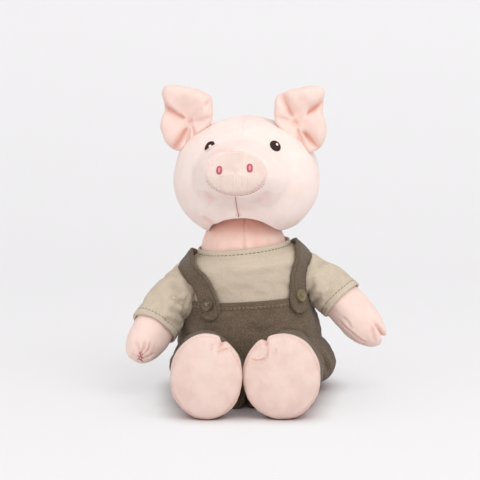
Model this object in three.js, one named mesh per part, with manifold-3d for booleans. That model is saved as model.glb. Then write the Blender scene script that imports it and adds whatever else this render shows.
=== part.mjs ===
// A sitting plush pig in a T-shirt and dungarees, at its real size in millimetres.
// +Z is up and the pig faces -Y. The origin is on the flat seat that the pig sits on.
// Left and right are the pig's own: its left side is at +X.
// Every limb, the neck, the head, the ears and the tail turn about the origin of their own group.

import * as THREE from "three";
import { ConvexGeometry } from "three/addons/geometries/ConvexGeometry.js";
import { LoftGeometry } from "three/addons/geometries/LoftGeometry.js";
import { mergeVertices } from "three/addons/utils/BufferGeometryUtils.js";
import Module from "manifold-3d";

const wasm = await Module();
wasm.setup();

const { degToRad } = THREE.MathUtils;

// Cloth, plush and the gaps between layers
const plushWall = 2.0;
const jerseyWall = 1.4;
const twillWall = 2.0;
const seamGap = 0.3;
const hemRoll = 0.5;
const cutOverrun = 4;

// Torso: a pear that leans a little to the pig's right
const torsoHeight = 110;
const hipHalfWidth = 57.5;
const hipHalfDepth = 40;
const torsoY = -16;
const torsoLean = -3;
const hipDrift = 2;
const slumpTilt = degToRad(6);
const slumpFrom = 35;
const slumpTo = 102;
const torsoSquareness = 2.35;
// height, half width, half depth and sideways drift from hip to neck
const torsoShares = [
  [0.0, 0.75, 0.74, 0.0],
  [0.07, 0.9, 0.9, 0.0],
  [0.16, 1.0, 0.98, 0.0],
  [0.27, 0.98, 1.0, 0.0],
  [0.38, 0.91, 0.98, 0.05],
  [0.49, 0.82, 0.94, 0.15],
  [0.6, 0.75, 0.91, 0.3],
  [0.71, 0.735, 0.9, 0.5],
  [0.82, 0.76, 0.91, 0.75],
  [0.88, 0.765, 0.92, 0.9],
  [0.93, 0.69, 0.9, 1.0],
  [0.97, 0.61, 0.86, 1.0],
  [1.0, 0.55, 0.82, 1.0],
];
const torsoRingShares = [0.07, 0.16, 0.27, 0.5, 0.76, 0.86, 0.93];
const innerRingShares = [0.1, 0.27, 0.5, 0.74, 0.88];
const torsoSides = 20;
const fillingSides = 14;
const roomSides = 16;
const sweepSides = 12;
const fillingRoomSides = 8;

// Neck: the top of a ball, which the head sits over
const neck = new THREE.Vector3(-3, torsoY, 104);
const neckRadius = 32;
const neckBelow = 8;
const collarWall = 1.4;
const collarBelow = 3;
const collarAbove = 6.5;
const collarFlare = 1.2;
const necklineAbove = 2.6;

// Head, in its own frame at the centre of the neck's ball
const headTurn = degToRad(-7);
const headShift = 2;
const headBottom = 15;
const headHeight = 87;
const headHalfWidth = 55;
const headHalfDepth = 46;
// height, half width and half depth
const headShares = [
  [0.0, 0.42, 0.5],
  [0.025, 0.57, 0.62],
  [0.07, 0.7, 0.74],
  [0.13, 0.81, 0.83],
  [0.2, 0.895, 0.9],
  [0.3, 0.965, 0.96],
  [0.4, 1.0, 1.0],
  [0.51, 0.995, 1.0],
  [0.62, 0.955, 0.98],
  [0.7, 0.9, 0.94],
  [0.78, 0.81, 0.86],
  [0.85, 0.69, 0.74],
  [0.92, 0.5, 0.55],
  [0.965, 0.33, 0.36],
  [1.0, 0.08, 0.09],
];
const headSides = 26;
const headRingShares = [0, 0.035, 0.1, 0.19, 0.3, 0.42, 0.54, 0.66, 0.77, 0.87, 0.95, 1];
const headFillingShares = [0, 0.1, 0.26, 0.45, 0.64, 0.8, 0.92, 1];
const chinRadius = 38.5;
const chinTop = 29.5;
const chinBack = 10;
const muzzleReach = 66;
const muzzleBase = 22;
const muzzleHeight = 65;
const muzzleDroop = 7;
const snoutHalfWidth = 22;
const snoutHalfHeight = 15.6;
const smallSides = 12;
const holeSides = 6;
// distance along the muzzle, half width and half height over the snout's, and droop
const muzzleShares = [
  [0.0, 1.62, 1.75, 1.0],
  [0.3, 1.55, 1.66, 0.85],
  [0.55, 1.32, 1.4, 0.5],
  [0.75, 1.12, 1.15, 0.2],
  [0.92, 1.02, 1.02, 0.03],
  [1.0, 0.95, 0.94, 0.0],
];
const muzzleSides = 20;
const snoutThickness = 3.2;
// height of the snout panel and share of its thickness drawn in
const snoutShares = [
  [0, 0.8],
  [0.3, 0],
  [0.75, 0.2],
  [1, 1.2],
];
const nostrilSpacing = 21.7;
const nostrilRise = 2.4;
const nostrilHalfWidth = 2.1;
const nostrilHalfHeight = 3.2;
const nostrilStand = 0.9;
const eyeSpacing = 48;
const eyeShift = 2;
const eyeHeight = 82.5;
const eyeRadius = 4.3;
const eyeStand = 1.5;
const rightEyeTuck = degToRad(17);

// Ears: a folded leaf with creases that run out from the stitch that pinches it
const earSpacing = 71.5;
const earShift = 0.5;
const earHeight = 87;
const earBack = -9;
const earLean = degToRad(4);
const earReach = 31;
const earHalfThickness = 5.2;
const earPinchShare = 0.35;
const earThinShare = 0.18;
const earStitch = new THREE.Vector2(2.3, 10.5);
const earSeamLength = 22;
const earSeamSlope = degToRad(-37);
const earRootRadius = 4.2;
const earFlop = degToRad(20);
// direction round the stitch in degrees, and reach of the outline
const earOutlineShares = [
  [5, 0.72],
  [28, 0.71],
  [43, 0.86],
  [53, 0.99],
  [64, 1.0],
  [82, 0.865],
  [98, 0.785],
  [118, 0.77],
  [132, 0.745],
  [148, 0.61],
  [166, 0.53],
  [182, 0.49],
  [200, 0.39],
  [228, 0.3],
  [258, 0.33],
  [284, 0.53],
  [297, 0.78],
  [312, 0.81],
  [329, 0.81],
  [348, 0.78],
  [365, 0.72],
];
// direction of each crease in degrees, its width in degrees and its depth
const earCreaseShares = [
  [41, 13, 0.75],
  [150, 15, 0.6],
  [196, 12, 0.45],
  [304, 12, 0.75],
];
const earSectors = 24;
const earRingShares = [0.3, 0.65, 0.9, 1.0];

// How a cleft narrows: share of its width at each share of its depth
const cleftShares = [
  [-1, 1],
  [0, 0.5],
  [1, 0.125],
];

// Arms, in their own frames: the arm runs along -Z from the shoulder
const armLength = 78;
const armRadius = 15.4;
const shoulderRadius = 14.8;
const armCleftDepth = 12;
const armCleftWidth = 2.4;
const armSides = 16;
// distance along the arm, half width, half thickness, and bow away from the body
const armShares = [
  [0.0, 0.96, 0.96, 0.0],
  [0.2, 0.96, 0.95, 0.62],
  [0.42, 0.97, 0.95, 1.0],
  [0.6, 1.0, 0.95, 0.98],
  [0.76, 0.95, 0.9, 0.85],
  [0.87, 0.8, 0.78, 0.85],
  [0.95, 0.55, 0.56, 0.95],
  [0.985, 0.34, 0.36, 1.05],
  [1.0, 0.16, 0.14, 1.1],
];
const sleeveLoose = 0.6;
const sleeveHemHeight = 5;
const armRaise = degToRad(50);
const arms = {
  left: {
    side: 1,
    shoulder: new THREE.Vector3(42.5, torsoY - 1, 87),
    outward: degToRad(42.5),
    forward: degToRad(25.5),
    bow: 6,
    back: degToRad(30),
    sleeveShare: 0.5,
    cleftShift: 3,
  },
  right: {
    side: -1,
    shoulder: new THREE.Vector3(-42.5, torsoY - 1, 81),
    outward: degToRad(31.5),
    forward: degToRad(38.5),
    bow: 4.4,
    back: degToRad(9),
    sleeveShare: 0.58,
    cleftShift: 0,
  },
};

// Legs, in their own frames: the leg runs along -Z from the hip, and its back is at +Y
const legLength = 87;
const thighRadius = 25;
const legRadius = thighRadius - twillWall - seamGap;
const seatDepth = 0.5;
const footHalfWidth = 26.2;
const footHalfHeight = 30;
const soleThickness = 3.4;
const soleBorder = 3;
const footCleftDepth = 8;
const footCleftWidth = 3.2;
const footCleftTurn = degToRad(24);
const legSides = 20;
const limbFillingSides = 12;
// distance along the leg, half width from thigh to foot, half height from thigh to foot
const legShares = [
  [0.0, 0.0, 0.0],
  [0.3, -0.1, -0.05],
  [0.52, -0.35, -0.12],
  [0.68, -0.25, -0.02],
  [0.8, 0.7, 0.75],
  [0.88, 1.0, 1.0],
  [0.95, 0.98, 0.98],
  [0.985, 0.7, 0.84],
  [1.0, -0.1, 0.45],
];
// depth of the sole and share of its border drawn in
const soleShares = [
  [1, 5],
  [0.85, 2.6],
  [0.5, 1.4],
  [0, 1],
];
const thighRun = 68;
const trouserLength = 52;
const trouserHemHeight = 8;
const hipBack = 22;
const hipRaise = degToRad(14);
const hipLower = degToRad(80);
const legs = {
  left: {
    side: 1,
    hip: new THREE.Vector3(30, torsoY - hipBack, thighRadius - seatDepth),
    inward: degToRad(4.3),
  },
  right: {
    side: -1,
    hip: new THREE.Vector3(-29.6, torsoY - hipBack, thighRadius - seatDepth),
    inward: degToRad(-0.4),
  },
};

// Dungarees
const waistHeight = 71.5;
const strapRise = 12;
const shirtHem = 40;
const strapWidth = 17;
const strapThickness = 3.2;
const buttonRadius = 4.7;
const buttonThickness = 2.2;
const buttonRim = 0.6;
const buttonHoleRadius = 0.7;
const threadSpread = 2.2;
const buttonHoleShares = [
  [0.5, 0.5],
  [0.5, -0.5],
  [-0.5, 0.5],
  [-0.5, -0.5],
];
const buttonInset = 15.8;
// Each strap's middle line: height, and direction round the torso in degrees from its left side to its back
const straps = {
  left: [
    [58.5, -53],
    [68, -49.5],
    [78, -45],
    [87, -39.5],
    [94, -32],
    [98.2, -20],
    [99.6, -2],
    [98.4, 20],
    [95, 42],
    [87, 58],
    [76, 68],
    [61.5, 73],
  ],
  right: [
    [57.5, -122],
    [67, -126],
    [78, -130],
    [88, -135],
    [95, -144],
    [99.2, -158],
    [100.4, -178],
    [99, -200],
    [95, -222],
    [87, -238],
    [76, -248],
    [61.5, -253],
  ],
};
const strapSag = 0.7;
const strapEndShare = 0.55;
// across the strap and through its thickness
const strapSectionShares = [
  [-1, 0.7],
  [-0.85, 1],
  [0.85, 1],
  [1, 0.7],
  [1, 0],
  [-1, 0],
];
const overBibLift = 3 * seamGap + jerseyWall + twillWall;

// Inside the torso
const pouchHalfWidth = 30;
const pouchHalfDepth = 12;
const pouchHalfHeight = 10;
const pouchY = 5;

// Tail: a curl of stuffed tube behind the seat
const tailRadius = 3.2;
const tailCurlRadius = 6.5;
const tailPitch = 8;
const tailTurns = 1.3;
const tailStem = 10;
const tailHeight = 27;
const tailRootRadius = 5;
const tailSides = 5;
const tailStepsPerTurn = 8;

const pink = 0xeec6b8;
const palePink = 0xf3d3c6;
const colours = {
  plush: { color: pink, roughness: 0.9, metalness: 0 },
  sole: { color: palePink, roughness: 0.9, metalness: 0 },
  filling: { color: 0xf2f0ea, roughness: 1, metalness: 0 },
  jersey: { color: 0xcbbca2, roughness: 0.95, metalness: 0 },
  twill: { color: 0x6a5a49, roughness: 0.95, metalness: 0 },
  button: { color: 0x5c5138, roughness: 0.5, metalness: 0 },
  eye: { color: 0x4a322a, roughness: 0.7, metalness: 0 },
  nostril: { color: 0xd9808a, roughness: 0.7, metalness: 0 },
};

// A closed geometry as a solid that can be joined and cut
function solidOf(geometry) {
  const bare = geometry.index ? geometry.toNonIndexed() : geometry.clone();
  bare.deleteAttribute("normal");
  bare.deleteAttribute("uv");
  const merged = mergeVertices(bare, 1e-4);
  return new wasm.Manifold(
    new wasm.Mesh({
      numProp: 3,
      vertProperties: merged.attributes.position.array,
      triVerts: new Uint32Array(merged.index.array),
    }),
  );
}

function meshOf(name, solid, look) {
  const made = solid.getMesh();
  const places = new Float32Array(made.numVert * 3);
  for (let i = 0; i < made.numVert; i++)
    places.set(made.vertProperties.subarray(i * made.numProp, i * made.numProp + 3), i * 3);
  const geometry = new THREE.BufferGeometry();
  geometry.setAttribute("position", new THREE.BufferAttribute(places, 3));
  geometry.setIndex(new THREE.BufferAttribute(made.triVerts, 1));
  geometry.computeVertexNormals();
  const mesh = new THREE.Mesh(geometry, new THREE.MeshStandardMaterial(look));
  mesh.name = name;
  return mesh;
}

// A table of shares as a smooth function: the first column is where, the rest are the values there
function smoothTable(rows) {
  const where = Float32Array.from(rows, (row) => row[0]);
  const values = Float32Array.from(rows.flatMap((row) => row.slice(1)));
  const curve = new THREE.CubicInterpolant(where, values, rows[0].length - 1);
  return (place) => Array.from(curve.evaluate(THREE.MathUtils.clamp(place, where[0], where.at(-1))));
}

// An oval or squarish ring at one height, counterclockwise from above
function ring(cx, cy, z, halfWidth, halfDepth, sides, squareness = 2) {
  return Array.from({ length: sides }, (_, i) => {
    const angle = (i / sides) * 2 * Math.PI;
    const [c, s] = [Math.cos(angle), Math.sin(angle)];
    return new THREE.Vector3(
      cx + halfWidth * Math.sign(c) * Math.abs(c) ** (2 / squareness),
      cy + halfDepth * Math.sign(s) * Math.abs(s) ** (2 / squareness),
      z,
    );
  });
}

function loft(rings) {
  return solidOf(new LoftGeometry(rings, { capStart: true, capEnd: true }));
}

function ball(centre, radius, sides = roomSides) {
  const geometry = new THREE.SphereGeometry(radius, sides, sides / 2);
  return solidOf(geometry.translate(centre.x, centre.y, centre.z));
}

// A ball whose flat faces all lie outside the true radius, so that it clears a true ball
function roomForBall(centre, radius, sides = roomSides) {
  return ball(centre, (radius + seamGap) / Math.cos(Math.PI / sides) ** 2, sides);
}

function block(low, high) {
  const size = high.clone().sub(low);
  const middle = high.clone().add(low).multiplyScalar(0.5);
  return solidOf(new THREE.BoxGeometry(size.x, size.y, size.z).translate(middle.x, middle.y, middle.z));
}

// The torso slumps towards the pig's right, more so the higher it gets
function slump(point) {
  const share = THREE.MathUtils.smoothstep(point.z, slumpFrom, slumpTo);
  point.z += (point.x - torsoLean) * Math.tan(slumpTilt) * share;
  return point;
}

// Torso surface
const torsoAt = smoothTable(torsoShares);

function torsoSize(z) {
  const [width, depth, drift] = torsoAt(z / torsoHeight);
  return {
    halfWidth: width * hipHalfWidth,
    halfDepth: depth * hipHalfDepth,
    x: THREE.MathUtils.lerp(hipDrift, torsoLean, drift),
  };
}

// Every layer of cloth has its rings at the same heights, so that the layers stay apart between them
const layerHeights = [shirtHem, waistHeight, neck.z + necklineAbove]
  .concat(torsoRingShares.map((share) => share * torsoHeight))
  .sort((a, b) => a - b);
const innerHeights = innerRingShares.map((share) => share * torsoHeight);

function torsoLayer(grow, bottom, top, sides = torsoSides, heights = layerHeights) {
  const between = heights.filter((z) => z > bottom + seamGap && z < top - seamGap);
  const rings = [bottom, ...between, top].map((z) => {
    const { x, halfWidth, halfDepth } = torsoSize(z);
    return ring(x, torsoY, z, halfWidth + grow, halfDepth + grow, sides, torsoSquareness).map(slump);
  });
  return loft(rings);
}

// A point on the torso and the direction that the cloth faces there
function torsoPlace(z, degrees, grow) {
  const at = (height, angle) => {
    const size = torsoSize(height);
    const [c, s] = [Math.cos(angle), Math.sin(angle)];
    const power = 2 / torsoSquareness;
    return slump(
      new THREE.Vector3(
        size.x + size.halfWidth * Math.sign(c) * Math.abs(c) ** power,
        torsoY + size.halfDepth * Math.sign(s) * Math.abs(s) ** power,
        height,
      ),
    );
  };
  const angle = degToRad(degrees);
  const step = 0.01;
  const point = at(z, angle);
  const round = at(z, angle + step).sub(at(z, angle - step));
  const up = at(z + step * torsoHeight, angle).sub(at(z - step * torsoHeight, angle));
  const facing = round.cross(up).normalize();
  return { point: point.addScaledVector(facing, grow), facing };
}

// Limbs
const armAt = smoothTable(armShares);
const legAt = smoothTable(legShares);

// A limb that starts as a ball at the joint and runs down -Z: the rings of its surface, moved in by inset.
// An open limb runs on past its top by the overrun, so that it cuts a shell open there.
const rootTurnShares = [0.72, 0.48, 0.24, 0.0];

function limbRings(rootRadius, inset, at, length, outerSides, steps, open) {
  const sides = inset > 0 ? limbFillingSides : outerSides;
  const rings = [];
  const radius = rootRadius - inset;
  for (const share of rootTurnShares) {
    const turn = (share * Math.PI) / 2;
    rings.push(ring(0, 0, radius * Math.sin(turn), radius * Math.cos(turn), radius * Math.cos(turn), sides));
  }
  if (open) {
    const top = radius * Math.cos((rootTurnShares[0] * Math.PI) / 2);
    rings.unshift(ring(0, 0, rootRadius + cutOverrun, top, top, sides));
  }
  for (const share of steps) {
    const { x, y, halfWidth, halfDepth } = at(share);
    rings.push(ring(x, y, -share * (length - inset), halfWidth - inset, halfDepth - inset, sides));
  }
  return rings.reverse();
}

const armStepShares = [0.2, 0.42, 0.6, 0.76, 0.87, 0.95, 0.985];
const legStepShares = [0.3, 0.52, 0.66, 0.74, 0.8, 0.88, 0.95, 0.985];

function armSection(arm) {
  return (share) => {
    const [width, thickness, bow] = armAt(share);
    return {
      x: arm.side * bow * arm.bow,
      y: 0,
      halfWidth: width * armRadius,
      halfDepth: thickness * armRadius,
    };
  };
}

function legSection(share) {
  const [width, height] = legAt(share);
  const halfHeight = THREE.MathUtils.lerp(legRadius, footHalfHeight, height);
  const toFloor = thighRadius - seatDepth;
  const lift = Math.max(0, halfHeight - toFloor);
  return {
    x: 0,
    y: -lift,
    halfWidth: THREE.MathUtils.lerp(legRadius, footHalfWidth, width),
    halfDepth: halfHeight,
  };
}

// A sewn sleeve or trouser leg: a tube of cloth with a turned hem, which follows a limb
function clothTube(rootRadius, wall, section, limbLength, lengthShare, hemHeight, sides) {
  const hemShare = lengthShare - hemHeight / limbLength;
  const stops = [lengthShare / 3, (2 * lengthShare) / 3, hemShare];
  const tube = (inset, open) => {
    const radius = rootRadius - inset;
    const rings = rootTurnShares.map((share) => {
      const turn = (share * Math.PI) / 2;
      return ring(0, 0, radius * Math.sin(turn), radius * Math.cos(turn), radius * Math.cos(turn), sides);
    });
    const put = (share, hem, drop) => {
      const { x, y, halfWidth, halfDepth } = section(share);
      const grow = hem - inset;
      rings.push(ring(x, y, -share * limbLength - drop, halfWidth + grow, halfDepth + grow, sides));
    };
    for (const share of stops) put(share, 0, 0);
    if (open) {
      const top = radius * Math.cos((rootTurnShares[0] * Math.PI) / 2);
      rings.unshift(ring(0, 0, radius + cutOverrun, top, top, sides));
      put(lengthShare, 0, cutOverrun);
    } else {
      put(hemShare, hemRoll, 0);
      put(lengthShare, hemRoll, 0);
    }
    return loft(rings.reverse());
  };
  return tube(0, false).subtract(tube(wall, true));
}

// A tapering wedge that parts the tip of a trotter in two; it points up +Z and runs through along Y
function cleft(width, depth, thickness) {
  const rightSide = cleftShares.map(([up, wide]) => new THREE.Vector2(wide * width, up * depth));
  const leftSide = rightSide.map((p) => new THREE.Vector2(-p.x, p.y)).reverse();
  const outline = new THREE.Shape(rightSide.concat(leftSide));
  const geometry = new THREE.ExtrudeGeometry(outline, { depth: thickness, bevelEnabled: false });
  return geometry.translate(0, 0, -thickness / 2).rotateX(Math.PI / 2);
}

const sleeveRadius = shoulderRadius + seamGap + jerseyWall;

function grown(section, by) {
  return { ...section, halfWidth: section.halfWidth + by, halfDepth: section.halfDepth + by };
}

// The room that a sleeve sweeps through near the shoulder as its arm swings to and fro
function sleeveSweep(arm, sides = sweepSides) {
  const steps = 4;
  const radius = (sleeveRadius + sleeveLoose + seamGap) / Math.cos(Math.PI / sides);
  const section = armSection(arm);
  const rings = [0, 0.3, 0.6].map((share) => {
    const { x } = section(share);
    return ring(x, 0, -share * armLength, radius, radius, sides);
  });
  const posed = (swing) => {
    const euler = new THREE.Euler(-arm.forward - swing, -arm.side * arm.outward, 0);
    return rings.flat().map((p) => p.clone().applyEuler(euler).add(arm.shoulder));
  };
  let swept = roomForBall(arm.shoulder, sleeveRadius);
  for (let i = 0; i < steps; i++) {
    const ends = [i, i + 1].map((k) => THREE.MathUtils.lerp(-arm.back, armRaise, k / steps));
    swept = swept.add(solidOf(new ConvexGeometry(ends.flatMap(posed))));
  }
  return swept;
}

function makeArm(name, arm) {
  const section = armSection(arm);
  const rings = (inset, open) =>
    limbRings(shoulderRadius, inset, section, armLength, armSides, armStepShares, open);
  const tipX = arm.side * (arm.bow + arm.cleftShift);
  const notchAt = (grow) => {
    const wedge = cleft(armCleftWidth + 2 * grow, armCleftDepth + grow, 4 * armRadius);
    return solidOf(wedge.translate(tipX, 0, -armLength));
  };
  const notch = notchAt(0);
  const inside = loft(rings(plushWall, true)).subtract(notchAt(plushWall));
  const skin = loft(rings(0, false)).subtract(notch).subtract(inside);
  const filling = loft(rings(plushWall + seamGap, false)).subtract(notchAt(1.5 * plushWall));
  const sleeve = clothTube(
    sleeveRadius,
    jerseyWall,
    (share) => grown(section(share), seamGap + jerseyWall + sleeveLoose),
    armLength,
    arm.sleeveShare,
    sleeveHemHeight,
    armSides,
  );
  const group = new THREE.Group();
  group.position.copy(arm.shoulder);
  group.rotation.set(-arm.forward, -arm.side * arm.outward, 0);
  group.add(
    meshOf(name + "_arm_skin", skin, colours.plush),
    meshOf(name + "_arm_filling", filling, colours.filling),
    meshOf(name + "_sleeve", sleeve, colours.jersey),
  );
  return group;
}

function makeLeg(name, leg) {
  const rings = (inset, open) =>
    limbRings(legRadius, inset, legSection, legLength, legSides, legStepShares, open);
  const toFloor = thighRadius - seatDepth;
  const reach = 2 * legLength;
  const floor = block(new THREE.Vector3(-reach, toFloor, -reach), new THREE.Vector3(reach, reach, reach));
  const aboveFloor = (rise) =>
    block(new THREE.Vector3(-reach, toFloor - rise, -reach), new THREE.Vector3(reach, reach, reach));
  const notchAt = (grow) => {
    const run = 4 * soleThickness + 2 * plushWall + 2 * grow;
    const geometry = cleft(footCleftWidth + 2 * grow, footCleftDepth + grow, run).rotateX(Math.PI / 2);
    geometry.translate(0, -footHalfHeight, 0).rotateZ(leg.side * -footCleftTurn);
    return solidOf(geometry.translate(0, toFloor - footHalfHeight, -legLength));
  };
  const notch = notchAt(0);
  const inside = loft(rings(plushWall, true)).subtract(aboveFloor(plushWall)).subtract(notchAt(plushWall));
  const skin = loft(rings(0, false)).subtract(floor).subtract(notch).subtract(inside);
  const filling = loft(rings(plushWall + seamGap, false))
    .subtract(aboveFloor(plushWall + seamGap))
    .subtract(notchAt(1.5 * plushWall));
  const soleRing = (z, shrink) =>
    ring(0, -(footHalfHeight - toFloor), z, footHalfWidth - shrink, footHalfHeight - shrink, legSides);
  const soleTop = -legLength * legStepShares.at(-1) - seamGap;
  const soleRings = soleShares.map(([deep, border]) =>
    soleRing(soleTop - deep * soleThickness, border * soleBorder),
  );
  const sole = loft(soleRings).subtract(notch);
  const thigh = () => ({ x: 0, y: 0, halfWidth: thighRadius, halfDepth: thighRadius });
  const trouser = clothTube(
    thighRadius,
    twillWall,
    thigh,
    legLength,
    trouserLength / legLength,
    trouserHemHeight,
    legSides,
  ).subtract(floor);
  const group = new THREE.Group();
  group.position.copy(leg.hip);
  group.rotation.set(-Math.PI / 2, leg.side * leg.inward, 0);
  group.add(
    meshOf(name + "_leg_skin", skin, colours.plush),
    meshOf(name + "_leg_filling", filling, colours.filling),
    meshOf(name + "_sole", sole, colours.sole),
    meshOf(name + "_trouser_leg", trouser, colours.twill),
  );
  return group;
}

// The room that a thigh sweeps through as its leg is raised and lowered
function thighSweep(leg, sides = sweepSides) {
  const radius = (thighRadius + hemRoll + seamGap) / Math.cos(Math.PI / sides);
  const steps = 6;
  const angles = Array.from({ length: steps + 1 }, (_, i) =>
    THREE.MathUtils.lerp(-hipRaise, hipLower, i / steps),
  );
  const thigh = (angle) => {
    const euler = new THREE.Euler(-Math.PI / 2 + angle, leg.side * leg.inward, 0);
    const rings = [0, -thighRun].map((z) => ring(0, 0, z, radius, radius, sides));
    return rings.flat().map((p) => p.applyEuler(euler).add(leg.hip));
  };
  let swept = roomForBall(leg.hip, thighRadius);
  for (let i = 0; i < steps; i++)
    swept = swept.add(solidOf(new ConvexGeometry([...thigh(angles[i]), ...thigh(angles[i + 1])])));
  return swept;
}

// A sleeve of space round the neck, which slumps with the torso
function roundNeck(radius, low, high) {
  const rings = [low, high].map((z) => ring(neck.x, neck.y, neck.z + z, radius, radius, torsoSides + 4));
  return loft(rings.map((points) => points.map(slump)));
}

// Where the collar and the neck sit in the top of the torso
function neckSeat() {
  const collarRoom = roundNeck(neckRadius + 3 * seamGap + collarWall, -collarBelow - seamGap, torsoHeight);
  const underRadius = neckRadius + 2 * seamGap;
  const under = new THREE.CylinderGeometry(underRadius, underRadius, neckBelow, torsoSides);
  under.rotateX(Math.PI / 2).translate(neck.x, neck.y, neck.z - neckBelow / 2 - seamGap);
  return collarRoom.add(solidOf(under));
}

function makeTorso() {
  const skinBottom = twillWall + seamGap;
  const insideBottom = skinBottom + plushWall;
  const fillBottom = insideBottom + seamGap;
  const skinTop = neck.z;
  const rooms = neckSeat().add(sleeveSweep(arms.left)).add(sleeveSweep(arms.right));
  const legRooms = thighSweep(legs.left).add(thighSweep(legs.right));
  const pouchCentre = new THREE.Vector3(hipDrift, pouchY, fillBottom + pouchHalfHeight);
  const pouchBall = (grow) => {
    const geometry = new THREE.SphereGeometry(1, fillingSides, fillingSides / 2);
    geometry.scale(pouchHalfWidth + grow, pouchHalfDepth + grow, pouchHalfHeight + grow);
    return solidOf(geometry.translate(pouchCentre.x, pouchCentre.y, pouchCentre.z));
  };
  const underPouch = block(
    new THREE.Vector3(pouchCentre.x - pouchHalfWidth / 2, pouchY - pouchHalfDepth / 2, 0),
    new THREE.Vector3(pouchCentre.x + pouchHalfWidth / 2, pouchY + pouchHalfDepth / 2, pouchCentre.z),
  );
  const inside = torsoLayer(-plushWall, insideBottom, skinTop + cutOverrun, fillingSides, innerHeights);
  const skin = torsoLayer(0, skinBottom, skinTop).subtract(inside).subtract(rooms).subtract(legRooms);
  const fillTop = skinTop - neckBelow - 2 * seamGap;
  const slab = block(
    new THREE.Vector3(-torsoHeight, -torsoHeight, fillBottom),
    new THREE.Vector3(torsoHeight, torsoHeight, fillTop),
  );
  const fillingTop = skinTop + cutOverrun;
  const filling = torsoLayer(-plushWall - seamGap, insideBottom, fillingTop, fillingSides, innerHeights)
    .intersect(slab)
    .subtract(sleeveSweep(arms.left, fillingRoomSides))
    .subtract(sleeveSweep(arms.right, fillingRoomSides))
    .subtract(thighSweep(legs.left, fillingRoomSides))
    .subtract(thighSweep(legs.right, fillingRoomSides))
    .subtract(pouchBall(seamGap))
    .subtract(underPouch)
    .subtract(tailHole());

  const shirtInside = torsoLayer(seamGap, shirtHem - cutOverrun, torsoHeight + cutOverrun);
  const shirt = torsoLayer(seamGap + jerseyWall, shirtHem, neck.z + necklineAbove)
    .subtract(shirtInside)
    .subtract(rooms)
    .subtract(legRooms);

  const collarInner = neckRadius + seamGap;
  const collarOuter = collarInner + collarWall;
  const collarRing = (height, radius) =>
    ring(neck.x, neck.y, neck.z + height, radius, radius, torsoSides + 4);
  const collarBand = [
    collarRing(-collarBelow, collarOuter),
    collarRing(collarAbove - hemRoll, collarOuter),
    collarRing(collarAbove, collarOuter - hemRoll),
  ];
  const collarHole = roundNeck(collarInner, -2 * collarBelow, 2 * collarAbove);
  const collar = loft(collarBand.map((points) => points.map(slump))).subtract(collarHole);

  const clothIn = 2 * seamGap + jerseyWall;
  const clothOut = clothIn + twillWall;
  const dungarees = torsoLayer(clothOut, 0, waistHeight)
    .subtract(torsoLayer(clothIn, twillWall, waistHeight + cutOverrun))
    .subtract(legRooms)
    .subtract(rooms)
    .subtract(tailHole());

  const group = new THREE.Group();
  group.add(
    meshOf("torso_skin", skin.subtract(tailHole()), colours.plush),
    meshOf("torso_filling", filling, colours.filling),
    meshOf("seat_pellet_pouch", pouchBall(0), colours.filling),
    meshOf("shirt_body", shirt, colours.jersey),
    meshOf("shirt_collar", collar, colours.jersey),
    meshOf("dungarees_body", dungarees, colours.twill),
  );
  return group;
}

// A strap is a flat band that bends only along its length, laid over the shoulder
function strapPath(strap) {
  const onBib = overBibLift - strapSag;
  const onShirt = 2 * seamGap + jerseyWall - strapSag;
  const points = strap.map(([z, degrees]) => {
    const share = THREE.MathUtils.smoothstep(z, waistHeight, waistHeight + strapRise);
    return torsoPlace(z, degrees, THREE.MathUtils.lerp(onBib, onShirt, share));
  });
  return {
    line: new THREE.CatmullRomCurve3(points.map((p) => p.point)),
    facings: new THREE.CatmullRomCurve3(points.map((p) => p.facing)),
  };
}

function makeStrap(name, strap) {
  const { line, facings } = strapPath(strap);
  const steps = 20;
  const sections = [];
  for (let i = 0; i <= steps; i++) {
    const share = i / steps;
    const point = line.getPoint(share);
    const along = line.getTangent(share);
    const facing = facings.getPoint(share);
    const across = new THREE.Vector3().crossVectors(along, facing).normalize();
    const out = new THREE.Vector3().crossVectors(across, along).normalize();
    const fromEnd = line.getLength() * share;
    const half = strapWidth / 2;
    const rounded = fromEnd < half ? Math.sqrt(Math.max(0, half ** 2 - (half - fromEnd) ** 2)) : half;
    const width = Math.max(rounded, strapEndShare * half);
    const corner = ([wide, high]) =>
      point.clone().addScaledVector(across, wide * width).addScaledVector(out, high * strapThickness);
    sections.push(strapSectionShares.map(corner));
  }
  const overShirt = torsoLayer(2 * seamGap + jerseyWall, shirtHem, torsoHeight);
  const overBib = torsoLayer(overBibLift, shirtHem, waistHeight + seamGap);
  const strapSolid = loft(sections).subtract(overShirt).subtract(overBib);
  return meshOf(name + "_strap", strapSolid.subtract(sleeveSweep(arms[name])), colours.twill);
}

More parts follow.
